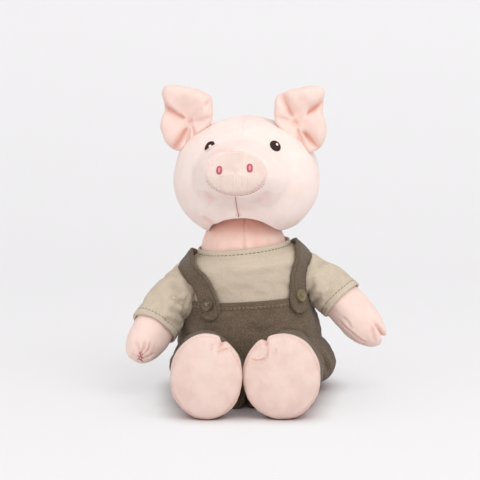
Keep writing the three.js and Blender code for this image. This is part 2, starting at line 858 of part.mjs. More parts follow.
// A round button with a raised rim and four sewing holes, lying on the strap near its front end
function makeButton(name, strap) {
  const profile = [
    new THREE.Vector2(0, 0),
    new THREE.Vector2(buttonRadius - buttonRim, 0),
    new THREE.Vector2(buttonRadius, buttonRim),
    new THREE.Vector2(buttonRadius, buttonThickness - buttonRim / 2),
    new THREE.Vector2(buttonRadius - buttonRim / 2, buttonThickness),
    new THREE.Vector2(buttonRadius - 2 * buttonRim, buttonThickness),
    new THREE.Vector2(buttonRadius - 3 * buttonRim, buttonThickness - buttonRim),
    new THREE.Vector2(0, buttonThickness - buttonRim),
  ];
  let button = solidOf(new THREE.LatheGeometry(profile, smallSides).rotateX(Math.PI / 2));
  for (const [x, y] of buttonHoleShares) {
    const drill = [buttonHoleRadius, buttonHoleRadius, 4 * buttonThickness, holeSides];
    const hole = new THREE.CylinderGeometry(...drill);
    hole.rotateX(Math.PI / 2).translate(x * threadSpread, y * threadSpread, 0);
    button = button.subtract(solidOf(hole));
  }
  const { line, facings } = strapPath(strap);
  const share = buttonInset / line.getLength();
  const facing = facings.getPoint(share).normalize();
  const mesh = meshOf(name + "_button", button, colours.button);
  mesh.position.copy(line.getPoint(share).addScaledVector(facing, strapThickness + 2.5 * seamGap));
  mesh.quaternion.setFromUnitVectors(new THREE.Vector3(0, 0, 1), facing);
  return mesh;
}

// Head
const headAt = smoothTable(headShares);
const muzzleAt = smoothTable(muzzleShares);
const muzzleRingShares = muzzleShares.map((row) => row[0]);

function headShape(grow, sides, finer) {
  const ringShares = finer ? headRingShares : headFillingShares;
  const skull = loft(
    ringShares.map((share) => {
      const [width, depth] = headAt(share);
      const z = headBottom + THREE.MathUtils.lerp(-grow, headHeight + grow, share);
      const halfWidth = Math.max(width * headHalfWidth + grow, plushWall);
      const halfDepth = Math.max(depth * headHalfDepth + grow, plushWall);
      return ring(headShift, 0, z, halfWidth, halfDepth, sides);
    }),
  );
  const muzzle = loft(
    muzzleRingShares.map((share) => {
      const [width, height, droop] = muzzleAt(share);
      const reach = THREE.MathUtils.lerp(muzzleBase, muzzleReach, share) + (share === 1 ? grow : 0);
      const halfWidth = width * snoutHalfWidth + grow;
      const halfHeight = height * snoutHalfHeight + grow;
      const flat = ring(headShift, 0, 0, halfWidth, halfHeight, Math.min(sides, muzzleSides));
      return flat.map((p) => new THREE.Vector3(p.x, -reach, p.y + muzzleHeight - droop * muzzleDroop));
    }),
  );
  return skull.add(muzzle).subtract(chinArch(grow));
}

// The hollow between the jowls, where the chin arches over the neck
function chinArch(grow) {
  const radius = chinRadius - grow;
  const run = 2 * headHalfDepth;
  const roll = new THREE.CylinderGeometry(radius, radius, run, headSides);
  return solidOf(roll.translate(headShift, -run / 2 - chinBack, chinTop - chinRadius));
}

// The front surface of the skull above a place in the head's own frame, and the way it faces
function skullPlace(x, z) {
  const depthAt = (px, pz) => {
    const [width, depth] = headAt((pz - headBottom) / headHeight);
    const inside = 1 - ((px - headShift) / (width * headHalfWidth)) ** 2;
    return -depth * headHalfDepth * Math.sqrt(Math.max(0, inside));
  };
  const step = plushWall / 4;
  const y = depthAt(x, z);
  const slopeX = (depthAt(x + step, z) - depthAt(x - step, z)) / (2 * step);
  const slopeZ = (depthAt(x, z + step) - depthAt(x, z - step)) / (2 * step);
  return { point: new THREE.Vector3(x, y, z), facing: new THREE.Vector3(slopeX, -1, slopeZ).normalize() };
}

// Ear
const fullTurn = 360;
const earOutline = smoothTable(earOutlineShares);

function earLeaf() {
  const places = [];
  const faces = [];
  const creaseAt = (degrees) =>
    earCreaseShares.reduce((kept, [at, width, depth]) => {
      const away = ((degrees - at + 1.5 * fullTurn) % fullTurn) - fullTurn / 2;
      return kept * (1 - depth * Math.exp(-((away / width) ** 2)));
    }, 1);
  const put = (share, degrees, front) => {
    const turn = degToRad(degrees);
    const first = earOutlineShares[0][0];
    const reach = earOutline(first + ((degrees - first + fullTurn) % fullTurn))[0] * earReach * share;
    const round = Math.sqrt(1 - share ** 3);
    const creased = earPinchShare + (1 - earPinchShare) * creaseAt(degrees) * Math.sqrt(share);
    const swell = Math.max(front ? round * creased : round, earThinShare) * earHalfThickness;
    const y = share === 1 ? 0 : front ? -swell : swell;
    places.push(earStitch.x + reach * Math.cos(turn), y, earStitch.y + reach * Math.sin(turn));
    return places.length / 3 - 1;
  };
  const directions = Array.from({ length: earSectors }, (_, i) => (i / earSectors) * fullTurn);
  const rim = directions.map((d) => put(1, d, true));
  for (const front of [true, false]) {
    let outer = rim;
    const face = (a, b, c) => faces.push(...(front ? [a, b, c] : [a, c, b]));
    for (const share of earRingShares.slice(0, -1).reverse()) {
      const inner = directions.map((d) => put(share, d, front));
      for (let i = 0; i < earSectors; i++) {
        const j = (i + 1) % earSectors;
        face(outer[i], outer[j], inner[i]);
        face(outer[j], inner[j], inner[i]);
      }
      outer = inner;
    }
    const middle = put(0, 0, front);
    for (let i = 0; i < earSectors; i++) face(outer[i], outer[(i + 1) % earSectors], middle);
  }
  const geometry = new THREE.BufferGeometry();
  geometry.setAttribute("position", new THREE.Float32BufferAttribute(places, 3));
  geometry.setIndex(faces);
  return geometry;
}

function earGroup(side) {
  const group = new THREE.Group();
  group.position.set(earShift + (side * earSpacing) / 2, earBack, earHeight);
  group.rotation.set(0, side * earLean, 0);
  return group;
}

function mirrored(geometry, side) {
  if (side > 0) return geometry;
  const flipped = geometry.clone().scale(-1, 1, 1);
  const index = Array.from(flipped.index.array);
  for (let i = 0; i < index.length; i += 3) [index[i + 1], index[i + 2]] = [index[i + 2], index[i + 1]];
  return flipped.setIndex(index);
}

// The sewn root of an ear: a roll of plush along the seam, about which the ear flops
function earRoot(side, radius, length) {
  const roll = new THREE.CapsuleGeometry(radius, length - 2 * earRootRadius, holeSides / 2, smallSides);
  return roll.rotateZ(Math.PI / 2).rotateY(side * -earSeamSlope);
}

// Where the rolled roots of both ears sit in the head
function roomForEars(gap) {
  const rooms = [1, -1].map((side) => {
    const local = earGroup(side);
    local.updateMatrixWorld();
    return solidOf(earRoot(side, earRootRadius + gap, earSeamLength + gap).applyMatrix4(local.matrixWorld));
  });
  return rooms[0].add(rooms[1]);
}

function makeEar(name, side, headRoom) {
  const group = earGroup(side);
  group.updateMatrixWorld();
  const axis = new THREE.Vector3(1, 0, 0).applyAxisAngle(new THREE.Vector3(0, 1, 0), side * -earSeamSlope);
  let leaf = solidOf(mirrored(earLeaf(), side));
  const back = group.matrixWorld.clone().invert();
  const turns = [-1, -0.5, 0, 0.5, 1];
  for (const turn of turns) {
    const swing = new THREE.Matrix4().makeRotationAxis(axis, -turn * earFlop);
    leaf = leaf.subtract(headRoom.transform(swing.multiply(back).toArray()));
  }
  const root = solidOf(earRoot(side, earRootRadius, earSeamLength));
  group.add(meshOf(name + "_ear", leaf.add(root), colours.plush));
  return group;
}

function makeHead() {
  const group = new THREE.Group();
  group.rotation.z = headTurn;
  const origin = new THREE.Vector3();
  const socket = roomForBall(origin, neckRadius, headSides);
  const inside = headShape(-plushWall - seamGap, fillingSides, false);
  const skin = headShape(0, headSides, true).subtract(inside).subtract(socket).subtract(roomForEars(seamGap));
  const filling = headShape(-plushWall - 2 * seamGap, fillingSides, false)
    .subtract(socket)
    .subtract(roomForEars(plushWall));
  const headRoom = headShape(seamGap, headSides, true);

  const snoutRing = (depth, shrink) => {
    const flat = ring(headShift, 0, 0, snoutHalfWidth - shrink, snoutHalfHeight - shrink, muzzleSides);
    const reach = muzzleReach + seamGap + depth;
    return flat.map((p) => new THREE.Vector3(p.x, -reach, p.y + muzzleHeight));
  };
  const snout = loft(
    snoutShares.map(([out, drawn]) => snoutRing(out * snoutThickness, drawn * snoutThickness)),
  );
  const nostrilY = -(muzzleReach + 2 * seamGap + snoutThickness);
  group.add(
    meshOf("head_skin", skin, colours.plush),
    meshOf("head_filling", filling, colours.filling),
    meshOf("snout_panel", snout, colours.sole),
  );
  const behind = block(
    new THREE.Vector3(-1, 0, -1).multiplyScalar(muzzleReach),
    new THREE.Vector3(1, 1, 1).multiplyScalar(muzzleReach),
  );
  for (const [name, side] of Object.entries({ left: 1, right: -1 })) {
    const pad = new THREE.SphereGeometry(1, smallSides, smallSides / 2);
    const nostril = solidOf(pad.scale(nostrilHalfWidth, nostrilStand, nostrilHalfHeight)).subtract(behind);
    const mesh = meshOf(name + "_nostril", nostril, colours.nostril);
    mesh.position.set(headShift + (side * nostrilSpacing) / 2, nostrilY, muzzleHeight + nostrilRise);
    const eye = eyePad(side).subtract(headRoom);
    group.add(mesh, meshOf(name + "_eye", eye, colours.eye), makeEar(name, side, headRoom));
  }
  return group;
}

// An embroidered eye: a low dome on the face. The right one is partly tucked under the plush.
function eyePad(side) {
  const { point, facing } = skullPlace(headShift + eyeShift + (side * eyeSpacing) / 2, eyeHeight);
  const pad = new THREE.SphereGeometry(1, smallSides, smallSides / 2).scale(eyeRadius, eyeStand, eyeRadius);
  if (side < 0) pad.rotateX(-rightEyeTuck).rotateZ(-rightEyeTuck);
  const turn = new THREE.Quaternion().setFromUnitVectors(new THREE.Vector3(0, -1, 0), facing);
  pad.applyQuaternion(turn);
  const place = point.addScaledVector(facing, seamGap / 2);
  return solidOf(pad.translate(place.x, place.y, place.z));
}

function makeNeck() {
  const group = new THREE.Group();
  group.position.copy(neck);
  const below = block(
    new THREE.Vector3(-1, -1, -1).multiplyScalar(2 * neckRadius),
    new THREE.Vector3(2 * neckRadius, 2 * neckRadius, -neckBelow),
  );
  const sphere = new THREE.SphereGeometry(neckRadius, headSides, headSides / 2);
  const neckBall = solidOf(sphere.rotateX(Math.PI / 2));
  group.add(meshOf("neck", neckBall.subtract(below), colours.plush), makeHead());
  return group;
}

// Tail
function tailRoot() {
  const size = torsoSize(tailHeight);
  return new THREE.Vector3(size.x, torsoY + size.halfDepth, tailHeight);
}

function tailHole() {
  return roomForBall(tailRoot(), tailRootRadius, smallSides);
}

function makeTail() {
  const steps = Math.round(tailTurns * tailStepsPerTurn);
  const points = [new THREE.Vector3(0, 0, 0), new THREE.Vector3(0, tailStem, 0)];
  for (let i = 1; i <= steps; i++) {
    const turn = (i / steps) * tailTurns * 2 * Math.PI;
    points.push(
      new THREE.Vector3(
        tailCurlRadius * Math.sin(turn),
        tailStem + (tailPitch * turn) / (2 * Math.PI),
        tailCurlRadius * (1 - Math.cos(turn)),
      ),
    );
  }
  const around = ring(0, 0, 0, tailRadius, tailRadius, tailSides);
  const section = new THREE.Shape(around.map((p) => new THREE.Vector2(p.x, p.y)));
  const curl = new THREE.ExtrudeGeometry(section, {
    steps: points.length,
    extrudePath: new THREE.CatmullRomCurve3(points),
    bevelEnabled: false,
  });
  const root = solidOf(new THREE.SphereGeometry(tailRootRadius, smallSides, smallSides / 2));
  const tip = ball(points.at(-1), tailRadius, holeSides);
  const group = new THREE.Group();
  group.position.copy(tailRoot());
  group.add(meshOf("tail", solidOf(curl).add(root).add(tip), colours.plush));
  return group;
}

const pig = new THREE.Group();
pig.name = "plush_pig";
pig.add(makeTorso(), makeNeck(), makeTail());
for (const [name, strap] of Object.entries(straps)) pig.add(makeStrap(name, strap), makeButton(name, strap));
for (const [name, arm] of Object.entries(arms)) pig.add(makeArm(name, arm));
for (const [name, leg] of Object.entries(legs)) pig.add(makeLeg(name, leg));

export default pig;
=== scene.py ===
"""Dresses a stuffed pig in its sewn surfaces: plush skin, T-shirt, dungarees, embroidery and stitching."""
import logging
import math
from collections.abc import Callable, Sequence
from dataclasses import dataclass, field
from enum import Enum

import bmesh
import bpy
import numpy as np
from mathutils import Matrix, Vector
from mathutils.bvhtree import BVHTree


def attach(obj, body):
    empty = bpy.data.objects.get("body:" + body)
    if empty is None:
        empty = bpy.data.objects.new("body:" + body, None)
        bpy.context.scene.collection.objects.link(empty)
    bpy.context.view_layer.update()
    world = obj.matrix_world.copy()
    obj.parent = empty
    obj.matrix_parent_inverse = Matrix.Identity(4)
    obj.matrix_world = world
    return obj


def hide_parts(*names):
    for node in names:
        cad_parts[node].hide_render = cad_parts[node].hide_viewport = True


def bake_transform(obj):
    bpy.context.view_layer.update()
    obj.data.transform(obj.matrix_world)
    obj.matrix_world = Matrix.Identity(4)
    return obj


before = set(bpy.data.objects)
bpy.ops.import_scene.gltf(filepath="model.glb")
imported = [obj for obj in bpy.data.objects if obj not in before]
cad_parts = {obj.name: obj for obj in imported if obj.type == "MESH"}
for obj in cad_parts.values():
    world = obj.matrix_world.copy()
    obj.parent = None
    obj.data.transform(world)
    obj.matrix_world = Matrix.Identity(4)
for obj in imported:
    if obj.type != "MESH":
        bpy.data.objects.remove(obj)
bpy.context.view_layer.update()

MM = 0.001
# The middle of the neck's ball, in millimetres
CENTRE = np.array([-3.0, -16.0, 104.0])
Colour = tuple[float, float, float]
Array = np.ndarray
Piece = bpy.types.Object
Socket = bpy.types.NodeSocket
Material = bpy.types.Material
log = logging.getLogger("pig")


class Side(Enum):
    """The pig's own left and right."""

    LEFT = 1
    RIGHT = -1

    @property
    def word(self) -> str:
        """The side as it stands in a piece's name."""
        return self.name.lower()


class Slot(Enum):
    """The record's material slots that show."""

    PLUSH = "plush"
    SOLE = "sole_plush"
    JERSEY = "jersey"
    TWILL = "twill"
    BUTTON = "button"
    EYE = "eye_thread"
    NOSTRIL = "nostril_thread"


# Plain sums

def smoothstep(value: Array, low: float, high: float) -> Array:
    """A soft step from 0 where the value is low to 1 where it is high."""
    share = np.clip((np.asarray(value, float) - low) / (high - low), 0.0, 1.0)
    return share * share * (3.0 - 2.0 * share)


def bump(distance: Array, width: float) -> Array:
    """A round hill of height 1 that has fallen to about a third at this width."""
    return np.exp(-((np.asarray(distance, float) / width) ** 2))


def unit(ways: Array) -> Array:
    """The same ways, each made one long."""
    return ways / np.linalg.norm(ways, axis=-1, keepdims=True)


def run_along(line: Array) -> Array:
    """Distance from the start of a line to each of its points."""
    return np.concatenate([[0.0], np.cumsum(np.linalg.norm(np.diff(line, axis=0), axis=1))])


def closed_line(ring: Array) -> Array:
    """A ring's points with the first one again at the end."""
    return np.vstack([ring, ring[:1]])


def smooth_table(rows: Sequence[Sequence[float]]) -> Callable[[Array], Array]:
    """A table of sizes as a smooth function.

    Args:
        rows: Where each row stands, then its values.

    Returns:
        A function from places to rows of values.
    """
    table = np.array(rows, float)
    where, values = table[:, 0], table[:, 1:]
    slopes = np.gradient(values, where, axis=0)

    def at(place: Array) -> Array:
        """The values at these places.

        Args:
            place: Where the table is read.

        Returns:
            A row of values for each place.
        """
        place = np.clip(np.asarray(place, float), where[0], where[-1])
        i = np.clip(np.searchsorted(where, place, side="right") - 1, 0, len(where) - 2)
        step = (where[i + 1] - where[i])[..., None]
        t = (place[..., None] - where[i][..., None]) / step
        square, cube = t**2, t**3
        return (
            values[i] * (2 * cube - 3 * square + 1)
            + slopes[i] * step * (cube - 2 * square + t)
            + values[i + 1] * (3 * square - 2 * cube)
            + slopes[i + 1] * step * (cube - square)
        )

    return at


def ovals(
    x: Array, y: Array, z: Array, wide: Array, deep: Array,
    sides: int, square: float = 2.0,
) -> Array:
    """Oval or squarish rings, one for each height.

    Args:
        x: Middle of each ring across.
        y: Middle of each ring from front to back.
        z: Height of each ring.
        wide: Half width of each ring.
        deep: Half depth of each ring.
        sides: Points round a ring.
        square: 2 for an oval, more for a squarer ring.

    Returns:
        Points as rings, sides, xyz.
    """
    turn = np.linspace(0, 2 * np.pi, sides, endpoint=False)
    c, s = (np.sign(v) * np.abs(v) ** (2 / square) for v in (np.cos(turn), np.sin(turn)))
    x, y, z, wide, deep = (np.asarray(v, float)[:, None] for v in np.broadcast_arrays(x, y, z, wide, deep))
    return np.stack([x + wide * c, y + deep * s, np.repeat(z, sides, axis=1)], axis=-1)


def spread_along(line: Array, step: float) -> tuple[Array, Array]:
    """Points an even step apart along a line.

    Args:
        line: The line's own points.
        step: Distance between the new points.

    Returns:
        The new points and their distance along the line.
    """
    line = np.asarray(line, float)
    lengths = run_along(line)
    count = max(2, int(round(lengths[-1] / step)) + 1)
    along = np.linspace(0, lengths[-1], count)
    return np.stack([np.interp(along, lengths, line[:, k]) for k in range(3)], axis=1), along


def smooth_line(points: Sequence[Sequence[float]], step: float = 1.0) -> Array:
    """A smooth curve through a few points.

    Args:
        points: What the curve goes through.
        step: Distance between the points that come back.

    Returns:
        Points along the curve.
    """
    points = np.array(points, float)
    if len(points) < 3:
        return spread_along(points, step)[0]
    lengths = run_along(points)
    curve = smooth_table(np.column_stack([lengths, points]))
    return spread_along(curve(np.linspace(0, lengths[-1], 12 * len(points))), step)[0]


def turned(points: Array, matrix: Matrix, place: Array) -> Array:
    """Points turned by a matrix and then moved to a place."""
    return np.asarray(points, float) @ np.array(matrix.to_3x3()).T + np.asarray(place, float)


class OwnFrame:
    """What has a frame of its own: a turn, and a root where the frame's zero stands on the toy."""

    turn: Matrix
    root: Sequence[float]

    def placed(self, points: Array) -> Array:
        """Points of the own frame, where they stand on the toy."""
        return turned(points, self.turn, self.root)

    def local(self, points: Array) -> Array:
        """Points on the toy in the own frame."""
        return turned(points - np.array(self.root), self.turn.transposed(), np.zeros(3))

    def bend(self, near: str, far: str, start: float, end: float, *pieces: Piece) -> None:
        """Bakes each piece's place into its mesh; the pieces are not bent, and not tied to either body.

        Args:
            near: Not used.
            far: Not used.
            start: Height of the start on the own frame's axis.
            end: Height of the end.
            *pieces: The pieces.
        """
        low, high = self.placed(np.array([[0, 0, start], [0, 0, end]])) * MM
        for piece in pieces:
            tuple(low)
            tuple(high)
            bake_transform(piece)


def linear(red: float, green: float, blue: float) -> tuple[float, ...]:
    """A screen colour from 0 to 255 as the light it stands for, with a full alpha."""
    shares = [value / 255 for value in (red, green, blue)]
    return (*(v / 12.92 if v <= 0.04045 else ((v + 0.055) / 1.055) ** 2.4 for v in shares), 1.0)


def shaded(colour: Colour, share: float) -> tuple[float, ...]:
    """A darker tone of a screen colour, as light."""
    return linear(*[share * c for c in colour])


# Workshop

def only(*pieces: Piece) -> None:
    """Selects these pieces and nothing else, with the first one active.

    Args:
        *pieces: What is to be selected.
    """
    if bpy.context.object and bpy.context.object.mode != "OBJECT":
        bpy.ops.object.mode_set(mode="OBJECT")
    bpy.ops.object.select_all(action="DESELECT")
    for piece in pieces:
        piece.select_set(True)
    if pieces:
        bpy.context.view_layer.objects.active = pieces[0]


def joined(name: str, pieces: Sequence[Piece]) -> Piece:
    """Several pieces as one.

    Args:
        name: Its name.
        pieces: The pieces, which are used up.

    Returns:
        The one piece.
    """
    only(*pieces)
    bpy.ops.object.join()
    piece = bpy.context.object
    piece.name = piece.data.name = name
    return piece


def apply_modifier(piece: Piece, kind: str, **settings: object) -> None:
    """Adds a modifier and makes it part of the mesh.

    Args:
        piece: The piece.
        kind: The modifier's type.
        **settings: Its settings.
    """
    only(piece)
    modifier = piece.modifiers.new(kind.title(), kind)
    for name, value in settings.items():
        setattr(modifier, name, value)
    bpy.ops.object.modifier_apply(modifier=modifier.name)


def subdivide(piece: Piece, levels: int) -> None:
    """Rounds a piece with subdivision surfaces."""
    apply_modifier(piece, "SUBSURF", levels=levels, render_levels=levels)


def opened(piece: Piece, caps: int) -> None:
    """Takes off the last caps, which closed a cover only while it was filled.

    Args:
        piece: The closed cover.
        caps: How many caps come off.
    """
    shape = bmesh.new()
    shape.from_mesh(piece.data)
    bmesh.ops.delete(shape, geom=list(shape.verts)[-caps:], context="VERTS")
    shape.to_mesh(piece.data)
    shape.free()


def new_piece(name: str, points: Array, faces: Sequence[Sequence[int]]) -> Piece:
    """A smooth piece.

    Args:
        name: Its name.
        points: Its points in millimetres.
        faces: Its faces.

    Returns:
        The piece.
    """
    mesh = bpy.data.meshes.new(name)
    mesh.from_pydata((np.asarray(points) * MM).tolist(), [], faces)
    mesh.polygons.foreach_set("use_smooth", [True] * len(mesh.polygons))
    piece = bpy.data.objects.new(name, mesh)
    bpy.context.scene.collection.objects.link(piece)
    return piece


def sewn(name: str, rings: Array, capped: bool = True) -> Piece:
    """A piece made of rings, with a cloth layout in centimetres on it.

    Args:
        name: The piece's name.
        rings: Points as rings, sides, xyz, in millimetres.
        capped: If the first and the last ring are closed to a point.

    Returns:
        The new piece.
    """
    count, sides = rings.shape[:2]
    points = rings.reshape(-1, 3)
    loop = np.linalg.norm(np.roll(rings, -1, axis=1) - rings, axis=2)
    girth = float(np.median(loop.sum(axis=1))) / 10
    rise = np.linalg.norm(np.diff(rings, axis=0), axis=2).mean(axis=1)
    up = np.concatenate([[0.0], np.cumsum(rise)]) / 10
    i, j = np.meshgrid(np.arange(count - 1), np.arange(sides), indexing="ij")
    k = (j + 1) % sides
    quads = (i * sides + j, i * sides + k, (i + 1) * sides + k, (i + 1) * sides + j)
    faces = np.stack(quads, axis=-1).reshape(-1, 4).tolist()
    u, v = j / sides * girth, (j + 1) / sides * girth
    corners = (u, up[i], v, up[i], v, up[i + 1], u, up[i + 1])
    places = np.stack(corners, axis=-1).reshape(-1, 2)
    for ring in (0, count - 1) if capped else ():
        points = np.vstack([points, rings[ring].mean(axis=0)])
        middle = len(points) - 1
        pairs = (ring * sides + np.stack([j[0], k[0]], axis=1)).tolist()
        faces += [(b, a, middle) if ring == 0 else (a, b, middle) for a, b in pairs]
        cap = np.column_stack([u[0], np.full(sides, up[ring])])
        places = np.vstack([places, np.repeat(cap, 3, axis=0)])
    piece = new_piece(name, points, faces)
    piece.data.uv_layers.new(name="cloth").data.foreach_set("uv", places.astype(np.float32).ravel())
    if capped:
        faces_out(piece.data)
    return piece


def faces_out(mesh: bpy.types.Mesh) -> None:
    """Turns the faces of a closed mesh outwards.

    Args:
        mesh: The closed mesh.
    """
    shape = bmesh.new()
    shape.from_mesh(mesh)
    bmesh.ops.recalc_face_normals(shape, faces=shape.faces)
    shape.to_mesh(mesh)
    shape.free()


def fused(name: str, parts: Sequence[Piece], cell: float, soften: int) -> Piece:
    """Several closed forms as one skin.

    Args:
        name: The new piece's name.
        parts: The forms, which are used up.
        cell: Size of the skin's faces in millimetres.
        soften: How often the skin is smoothed.

    Returns:
        The one piece.
    """
    piece = joined(name, parts)
    piece.data.remesh_voxel_size = cell * MM
    piece.data.use_remesh_fix_poles = True
    bpy.ops.object.voxel_remesh()
    apply_modifier(piece, "SMOOTH", factor=0.5, iterations=soften)
    return piece


def read_points(piece: Piece) -> Array:
    """A piece's points in millimetres.

    Args:
        piece: The piece.

    Returns:
        Points as rows of xyz.
    """
    flat = np.empty(len(piece.data.vertices) * 3, np.float32)
    piece.data.vertices.foreach_get("co", flat)
    return flat.reshape(-1, 3).astype(float) / MM


def write_points(piece: Piece, points: Array) -> None:
    """Puts a piece's points where they are given, in millimetres."""
    piece.data.vertices.foreach_set("co", (points * MM).astype(np.float32).ravel())
    piece.data.update()


def tree_of(piece: Piece) -> BVHTree:
    """A piece's surface, for finding places on it."""
    return BVHTree.FromObject(piece, bpy.context.evaluated_depsgraph_get())


@dataclass(frozen=True)
class Stuffing:
    """How a cover swells as it is filled: a short cloth simulation with air pressure inside."""

    pressure: float
    frames: int
    most: float
    shrink: float = 0.0
    caps: int = 0
    rounds: int = 1

    def fill(self, piece: Piece, held: Array) -> Piece:
        """Fills a closed cover, takes off the caps that closed it only for that, and rounds it.

        Args:
            piece: The closed cover.
            held: How firmly each point is held by seams and by what it rests on, 0 to 1.

        Returns:
            The cover.
        """
        self.swell(piece, held)
        if self.caps:
            opened(piece, self.caps)
        subdivide(piece, self.rounds)
        return piece

    def swell(self, piece: Piece, held: Array) -> None:
        """Lets air pressure swell a closed cover, and keeps what comes out.

        Args:
            piece: The closed cover.
            held: How firmly each point is held, 0 to 1.
        """
        before = read_points(piece)
        group = piece.vertex_groups.new(name="held")
        for i, weight in enumerate(held):
            if weight > 0.01:
                group.add([i], float(weight), "REPLACE")
        only(piece)
        cover = piece.modifiers.new("Cover", "CLOTH")
        cover.settings.quality = 6
        cover.settings.mass = 0.15
        cover.settings.use_pressure = True
        cover.settings.uniform_pressure_force = self.pressure
        cover.settings.vertex_group_mass = group.name
        cover.settings.shrink_min = self.shrink
        cover.settings.effector_weights.gravity = 0.0
        cover.point_cache.frame_start, cover.point_cache.frame_end = 1, self.frames
        for number in range(1, self.frames + 1):
            bpy.context.scene.frame_set(number)
        bpy.ops.object.modifier_apply(modifier=cover.name)
        bpy.context.scene.frame_set(1)
        piece.vertex_groups.clear()
        moved = read_points(piece) - before
        far = np.linalg.norm(moved, axis=1, keepdims=True)
        write_points(piece, before + moved * np.minimum(1.0, self.most / np.maximum(far, 1e-6)))


class Sculptor:
    """Shapes a piece by strokes along its surface, as a maker does with thread and thumb."""

    def __init__(self, piece: Piece) -> None:
        """Takes up a piece.

        Args:
            piece: What is shaped.
        """
        self.piece = piece
        self.points = read_points(piece)
        # fold marks: how much painted shade the finish lays on each point
        self.fold = np.zeros(len(self.points))

    def push(self, height: Array) -> None:
        """Moves each point out of the surface by its own height.

        Args:
            height: How far each point moves.
        """
        write_points(self.piece, self.points)
        flat = np.empty(len(self.points) * 3, np.float32)
        self.piece.data.vertex_normals.foreach_get("vector", flat)
        self.points += flat.reshape(-1, 3).astype(float) * height[:, None]

    def paint_shade(self, mark: Array) -> None:
        """Marks how much painted shade each point gets in a fold, where it doesn't get more already."""
        self.fold = np.maximum(self.fold, mark)

    def nearest(self, line: Array) -> tuple[Array, Array]:
        """Distance to a line, and how far along it the nearest place is.

        Args:
            line: Points of the line.

        Returns:
            Distance and place along the line for each point.
        """
        line, along = spread_along(line, 1.0)
        best = np.full(len(self.points), np.inf)
        where = np.zeros(len(self.points))
        low, high = line.min(axis=0) - 25, line.max(axis=0) + 25
        near = np.flatnonzero(((self.points > low) & (self.points < high)).all(axis=1))
        points = self.points[near]
        for k in range(len(line) - 1):
            step = line[k + 1] - line[k]
            share = np.clip((points - line[k]) @ step / (step @ step), 0, 1)
            away = np.linalg.norm(points - line[k] - share[:, None] * step, axis=1)
            closer = away < best[near]
            best[near[closer]] = away[closer]
            where[near[closer]] = along[k] + share[closer] * (along[k + 1] - along[k])
        return best, where

    def seam(
        self, line: Array, depth: float, width: float, lip: float = 0.0,
        pucker: float = 0.0, pitch: float = 3.2, fade: float = 4.0,
    ) -> None:
        """Draws the surface in along a line, with soft lips beside it.

        Args:
            line: Where the seam or fold runs.
            depth: How deep it is drawn in.
            width: How wide the valley is.
            lip: How high the plush stands beside it.
            pucker: How much the depth changes from stitch to stitch, 0 to 1.
            pitch: Distance between two stitches.
            fade: Distance over which each end runs out.
        """
        away, along = self.nearest(line)
        length = spread_along(line, 1.0)[1][-1]
        ends = np.ones(len(along))
        if fade > 0:
            ends = smoothstep(along, 0, fade) * smoothstep(length - along, 0, fade)
        valley = depth * bump(away, width) * (1 - pucker * 0.5 * (1 + np.cos(2 * np.pi * along / pitch)))
        hill = lip * bump(away - 2.4 * width, 1.3 * width)
        hill *= 1 + pucker * np.sin(2 * np.pi * along / (1.7 * pitch) + 0.4)
        self.push((hill - valley) * ends)
        # painted shade along the valley of the seam or fold
        self.paint_shade(min(1.0, depth / 2.5) * bump(away, 1.6 * width) * ends)

    def folds(self, table: Sequence[tuple], lip: float, **course: float) -> None:
        """Draws in the folds that the front view shows.

        Args:
            table: The marks, depth and width of each fold.
            lip: Height of the lips, as a share of the depth.
            **course: What else a seam takes.
        """
        for marks, depth, width in table:
            line = FRONT.drawn(self.piece, marks)
            if len(line) > 2:
                self.seam(line, depth, width, lip=lip * depth, **course)

    def rumple(self, height: float, size: float, seed: float, mask: Array | float = 1.0) -> None:
        """Gives the surface soft uneven hollows, as loose filling does.

        Args:
            height: Height of the unevenness.
            size: Distance from one hollow to the next.
            seed: Chooses the pattern.
            mask: How much of it each point takes.
        """
        p = self.points / size
        wave = np.zeros(len(p))
        for k in range(5):
            way = [math.sin(seed + 2.1 * k), math.cos(1.7 * seed + k), math.sin(0.6 * seed - 1.3 * k)]
            wave += np.sin(p @ (np.array(way) * (3.0 + 0.9 * k)) + seed * (k + 1)) / (1 + 0.4 * k)
        self.push(0.35 * height * wave * mask)

    def done(self) -> Piece:
        """Puts the piece down, with its fold marks for painted shade on it.

        Returns:
            The piece.
        """
        write_points(self.piece, self.points)
        mark = self.piece.data.attributes.new("fold", "FLOAT", "POINT")
        mark.data.foreach_set("value", self.fold.astype(np.float32))
        return self.piece


